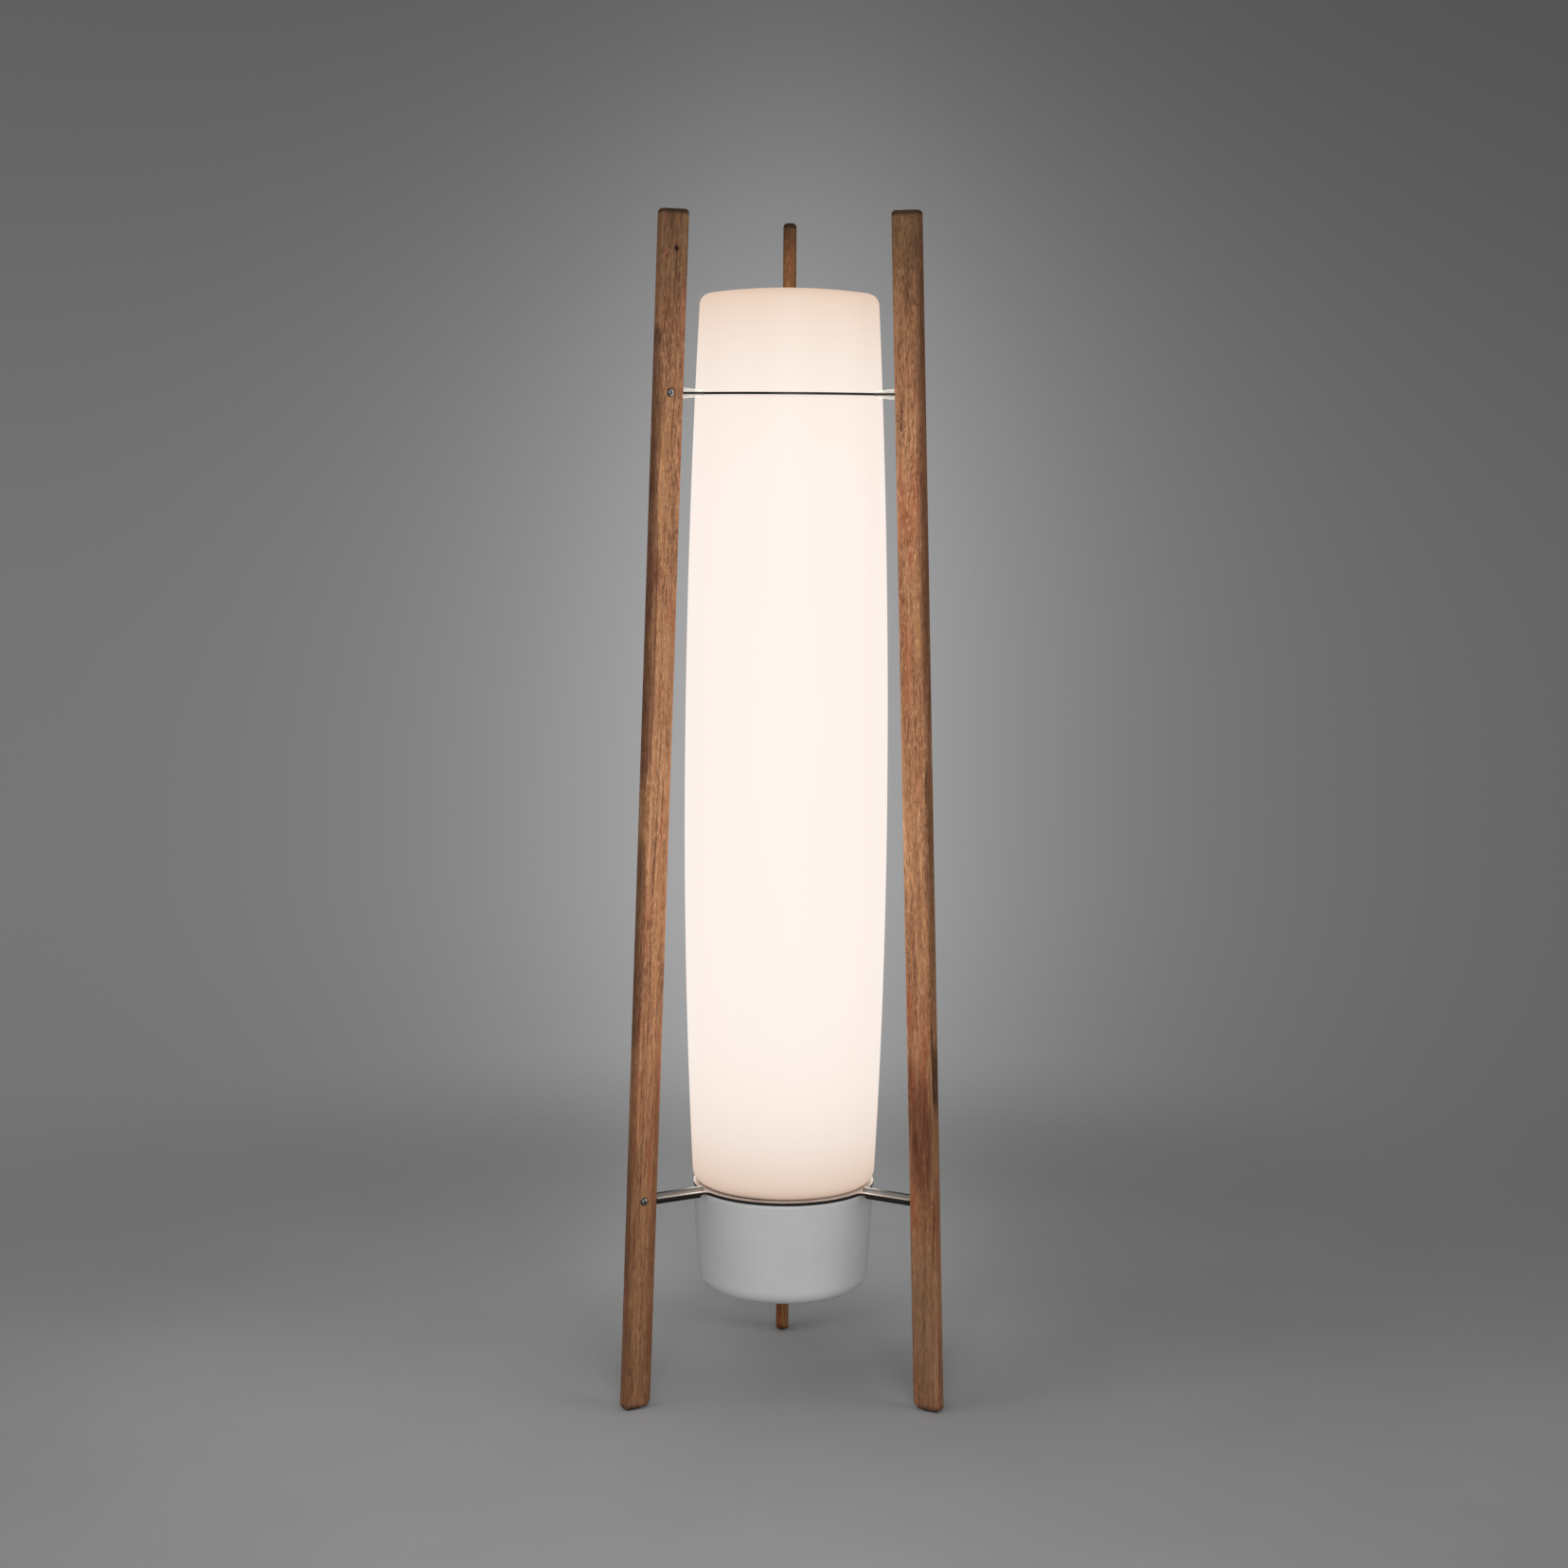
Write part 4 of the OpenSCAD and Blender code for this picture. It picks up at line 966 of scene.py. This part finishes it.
# ---------------------------------------------------------------- the other construction nodes keep their shape
for node, key in {
    "foot_glides": "felt", "diffuser_gasket": "rubber", "gear_plate": "zinc", "plate_washers": "zinc", "plate_nuts": "zinc",
    "mast_foot": "alloy", "mast_screws": "zinc", "mast": "alloy", "mast_cap": "white", "centring_star": "clear",
    "led_board_left": "board", "led_board_right": "board", "led_board_front": "board", "led_emitters": "emitter",
    "board_screws": "zinc", "driver": "white", "driver_screws": "zinc", "terminal_block": "white", "terminal_screws": "brass",
    "earth_screw": "brass", "lead_grommet": "rubber", "led_lead": "sheath", "cover_clips": "zinc", "clip_screws": "zinc",
    "cover_gasket": "rubber", "cable_bush": "nylon", "bush_nut": "nylon",
}.items():
    dress_node(node, MAT[key])

# ---------------------------------------------------------------- floor, light, camera
FLOOR_LOW, FLOOR_HIGH = (0.380, 0.385, 0.387), (0.409, 0.414, 0.416)
# painted light and shade on the floor, as lighter and darker patches: centre, half widths, and how much lighter or
# darker
PAINTED_LIGHT_PATCHES = [(-0.52, -0.02, 0.38, 0.50, 0.10), (-0.90, -0.60, 0.46, 0.46, -0.08), (0.00, -0.72, 0.42, 0.26, 0.07),
           (0.04, -0.10, 0.30, 0.26, -0.07), (0.52, 0.00, 0.38, 0.50, -0.07), (0.80, 0.50, 0.50, 0.60, -0.10), (-0.65, 1.25, 0.45, 0.60, 0.03), (0.55, 1.20, 0.35, 0.50, -0.08),
           (0.24, 0.14, 0.12, 0.16, 0.16), (0.03, 0.10, 0.22, 0.14, 0.14), (0.85, -0.65, 0.42, 0.42, -0.06)]


def floor():
    verts, faces = [], []
    radii = [0.0, 0.15, 0.3, 0.5, 0.8, 1.2, 1.8, 2.4, 3.0]
    seg = 96
    for r in radii[1:]:
        for i in range(seg):
            a = 2 * math.pi * i / seg
            verts.append((r * math.cos(a), AY + r * math.sin(a), 0))
    verts.append((0, AY, 0))
    for k in range(len(radii) - 2):
        for i in range(seg):
            j = (i + 1) % seg
            faces.append((k * seg + i, (k + 1) * seg + i, (k + 1) * seg + j, k * seg + j))
    for i in range(seg):
        faces.append((len(verts) - 1, i, (i + 1) % seg))
    o = mesh_object("floor", verts, faces, smooth=False)
    M = Mat("floor_pale")
    n = M.noise(M.scaled(M.co(), 3, 3, 3), 1.0, 5.0, 0.6)
    fine = M.noise(M.scaled(M.co(), 240, 240, 240), 1.0, 3.0, 0.6)
    fx, fy, fz = M.xyz(M.co())
    # painted light and shade from the patches
    tone = 1.0
    for px, py, rx, ry, much in PAINTED_LIGHT_PATCHES:
        dx, dy = M.math("DIVIDE", M.math("SUBTRACT", fx, px), rx), M.math("DIVIDE", M.math("SUBTRACT", fy, py), ry)
        d = M.math("SQRT", M.math("ADD", M.math("MULTIPLY", dx, dx), M.math("MULTIPLY", dy, dy)))
        tone = M.math("ADD", tone, M.remap(d, 0.0, 1.6, much, 0.0, smooth=True))
    M.to(M.mix(1.0, M.ramp(n, [(0.3, FLOOR_LOW), (0.7, FLOOR_HIGH)]), M.combine(tone, tone, tone), "MULTIPLY"), "Base Color")
    M.to(M.remap(fine, 0.3, 0.7, 0.62, 0.74), "Roughness")
    M.bump(fine, 0.05, 0.0005)
    M.bsdf.inputs["Specular IOR Level"].default_value = 0.20
    # the floor passes softly into the backdrop
    x, y, z = M.xyz(M.vmath("SUBTRACT", M.co(), (0, AY, 0)))
    r = M.math("SQRT", M.math("ADD", M.math("MULTIPLY", x, x), M.math("MULTIPLY", y, y)))
    clear = M.nt.nodes.new("ShaderNodeBsdfTransparent")
    mixer = M.nt.nodes.new("ShaderNodeMixShader")
    M.link(M.remap(r, 0.70, 2.0, 0.0, 1.0, smooth=True), mixer.inputs[0])
    M.link(M.bsdf.outputs[0], mixer.inputs[1])
    M.link(clear.outputs[0], mixer.inputs[2])
    M.link(mixer.outputs[0], M.out.inputs[0])
    dress(o, M.m)
    return o


floor()


class Sky(Nodes):
    """The backdrop: plain grey, a little lighter to the left, with a soft pool of light behind the lamp."""
    where = "Generated"

    def hump(self, v, middle, width, power):
        """1 in the middle, falling off smoothly on both sides."""
        d = self.math("ABSOLUTE", self.math("DIVIDE", self.math("SUBTRACT", v, middle), width))
        return self.math("EXPONENT", self.math("MULTIPLY", self.math("POWER", d, power), -1.0))

    def __init__(self):
        world = bpy.data.worlds.new("studio")
        world.use_nodes = True
        scene.world = world
        super().__init__(world.node_tree)
        x, y, z = self.xyz(self.co())
        up = self.math("ARCSINE", z)
        side = self.math("ARCTAN2", x, y)
        plain = self.math("ADD", 0.090, self.math("MULTIPLY", self.hump(up, -0.147, 0.2415, 2.6), 0.060))
        slope = self.math("SUBTRACT", 1.0, self.math("MULTIPLY", self.math("SINE", side), 0.55))
        lean = self.math("MULTIPLY", self.math("MAXIMUM", self.math("ADD", up, 0.12), 0.0), 0.032)
        off = self.math("SUBTRACT", self.math("ADD", side, 0.0045), lean)
        near = self.math("SQRT", self.math("ADD", self.math("MULTIPLY", off, off), 0.0025))
        across = self.math("EXPONENT", self.math("DIVIDE", self.math("SUBTRACT", 0.037, near), 0.0647))
        along = self.math("MULTIPLY", self.hump(up, -0.135, 0.231, 3.0), self.remap(up, -0.30, -0.23, smooth=True))
        along = self.math("MULTIPLY", along, self.remap(up, -0.237, -0.153, 0.83, 1.0, smooth=True))
        pool = self.math("MULTIPLY", self.math("MULTIPLY", across, along), POOL)
        grey = self.math("ADD", self.math("MULTIPLY", plain, slope), pool)
        bg = self.nt.nodes.new("ShaderNodeBackground")
        out = self.nt.nodes.new("ShaderNodeOutputWorld")
        self.link(self.combine(grey, grey, self.math("MULTIPLY", grey, 1.006)), bg.inputs[0])
        self.link(bg.outputs[0], out.inputs[0])


POOL = 0.32
Sky()


def area(name, loc, target, size, power, colour=(1, 1, 1), size_y=None):
    li = bpy.data.lights.new(name, "AREA")
    li.shape = "RECTANGLE"
    li.size = size
    li.size_y = size_y or size
    li.energy = power
    li.color = colour
    o = link(bpy.data.objects.new(name, li))
    o.location = loc
    d = Vector(target) - Vector(loc)
    o.rotation_euler = d.to_track_quat("-Z", "Y").to_euler()
    return o


def receivers(name, names):
    """The only objects that a light shines on."""
    held = bpy.data.collections.new(name)
    for n in names:
        held.objects.link(bpy.data.objects[n])
    return held


def strip(name, az, r, low, high, width, glow, colour, held):
    """One upright piece of the barrel's own light, shining outwards. glow is its radiance."""
    li = bpy.data.lights.new(name, "AREA")
    li.shape = "RECTANGLE"
    li.size, li.size_y = width, high - low
    li.energy = glow * math.pi * width * (high - low)
    li.color = colour
    o = link(bpy.data.objects.new(name, li))
    out = Vector((math.cos(D(az)), math.sin(D(az)), 0))
    o.matrix_world = (Matrix.Translation(Vector((0, AY, (low + high) / 2)) + out * r)
                      @ out.to_track_quat("-Z", "Y").to_matrix().to_4x4())
    o.visible_camera = False
    o.light_linking.receiver_collection = held


WARM = (1.0, 0.95, 0.88)
wooden = receivers("wood_lit_by_lamp", ["leg_%s_wood" % k for k in LEG])
SPANS = {"left": ((0.400, 1.245, 2.8), (0.400, 0.850, 1.7)), "right": ((0.420, 1.245, 3.3), (0.420, 0.780, 0.8), (0.950, 1.230, 0.8)),
         "back": ((0.400, 1.245, 3.0),)}
for leg, az in LEG.items():
    for off in (-30, 30):
        for k, (low, high, glow) in enumerate(SPANS[leg]):
            strip("leg_%s_%d_%d" % (leg, off, k), az + off, 0.1275, low, high, 0.064, glow, WARM, wooden)
metal = receivers("steel_lit_by_lamp", LIT)
for k in range(12):
    strip("foot_%02d" % k, 30 * k, 0.1152, 0.268, 0.360, 0.058, 4.0, WARM, metal)
    strip("neck_%02d" % k, 30 * k, 0.1175, 1.130, 1.232, 0.058, 4.0, WARM, metal)
    strip("crown_%02d" % k, 30 * k, 0.1141, 1.240, 1.320, 0.056, 4.0, WARM, metal)
    # the glow from the foot of the barrel onto the ring just under it
    rim = area("rim_%02d" % k, (0.1135 * math.cos(D(30 * k)), AY + 0.1135 * math.sin(D(30 * k)), 0.271),
               (0.1135 * math.cos(D(30 * k)), AY + 0.1135 * math.sin(D(30 * k)), 0.0), 0.006, 2.0 * math.pi * 0.006 * 0.0585, WARM, 0.0585)
    rim.rotation_euler = (0.0, 0.0, D(30 * k))
    rim.visible_camera = False
    rim.light_linking.receiver_collection = metal

area("soft_front", (0.15, -4.7, 2.3), (0, AY, 0.7), 2.4, 96, (1.0, 0.995, 0.99))
area("soft_left", (-3.4, -1.4, 2.4), (-0.3, AY, 0.3), 2.0, 16, (1.0, 0.995, 0.99))
area("soft_right", (3.4, -1.6, 2.0), (0.2, AY, 0.5), 2.0, 25, (1.0, 0.995, 0.99))
area("soft_top", (-0.5, -1.3, 4.2), (-0.3, AY - 0.2, 0.2), 4.0, 20, (1.0, 1.0, 1.0))
pale = area("soft_floor", (-1.0, -1.4, 1.5), (-0.2, -0.4, 0), 1.4, 6.8)
pale.visible_camera = False
only_floor = receivers("floor_only", ["floor"])
pale.light_linking.receiver_collection = only_floor
pale.light_linking.blocker_collection = only_floor
# the lamp's own light on the floor behind it
for gx in (-0.17, 0.15):
    glow = area("floor_glow_left" if gx < 0 else "floor_glow_right", (gx, 1.17, 0.18), (gx, 1.17, 0), 0.10, 0.43, (1.0, 1.0, 1.0), 1.74)
    glow.matrix_world = Matrix.Translation((gx, 1.17, 0.18))
    glow.visible_camera = False
    glow.light_linking.receiver_collection = only_floor
    glow.light_linking.blocker_collection = only_floor

cam = bpy.data.cameras.new("camera")
cam.lens = 36.0 * 2937.0 / 1656.0
cam.sensor_width = 36.0
cam.clip_start, cam.clip_end = 0.05, 200.0
co = link(bpy.data.objects.new("camera", cam))
rot = Matrix.Rotation(D(90 - 7.25), 4, "X") @ Matrix.Rotation(D(0.40), 4, "Z")
co.matrix_world = Matrix.Translation((-0.0026, -3.396 + AY, 1.193)) @ rot
scene.camera = co

scene.view_settings.view_transform = "Standard"
scene.view_settings.look = "None"
scene.view_settings.exposure = 0.0
scene.view_settings.gamma = 1.0

bpy.context.view_layer.update()
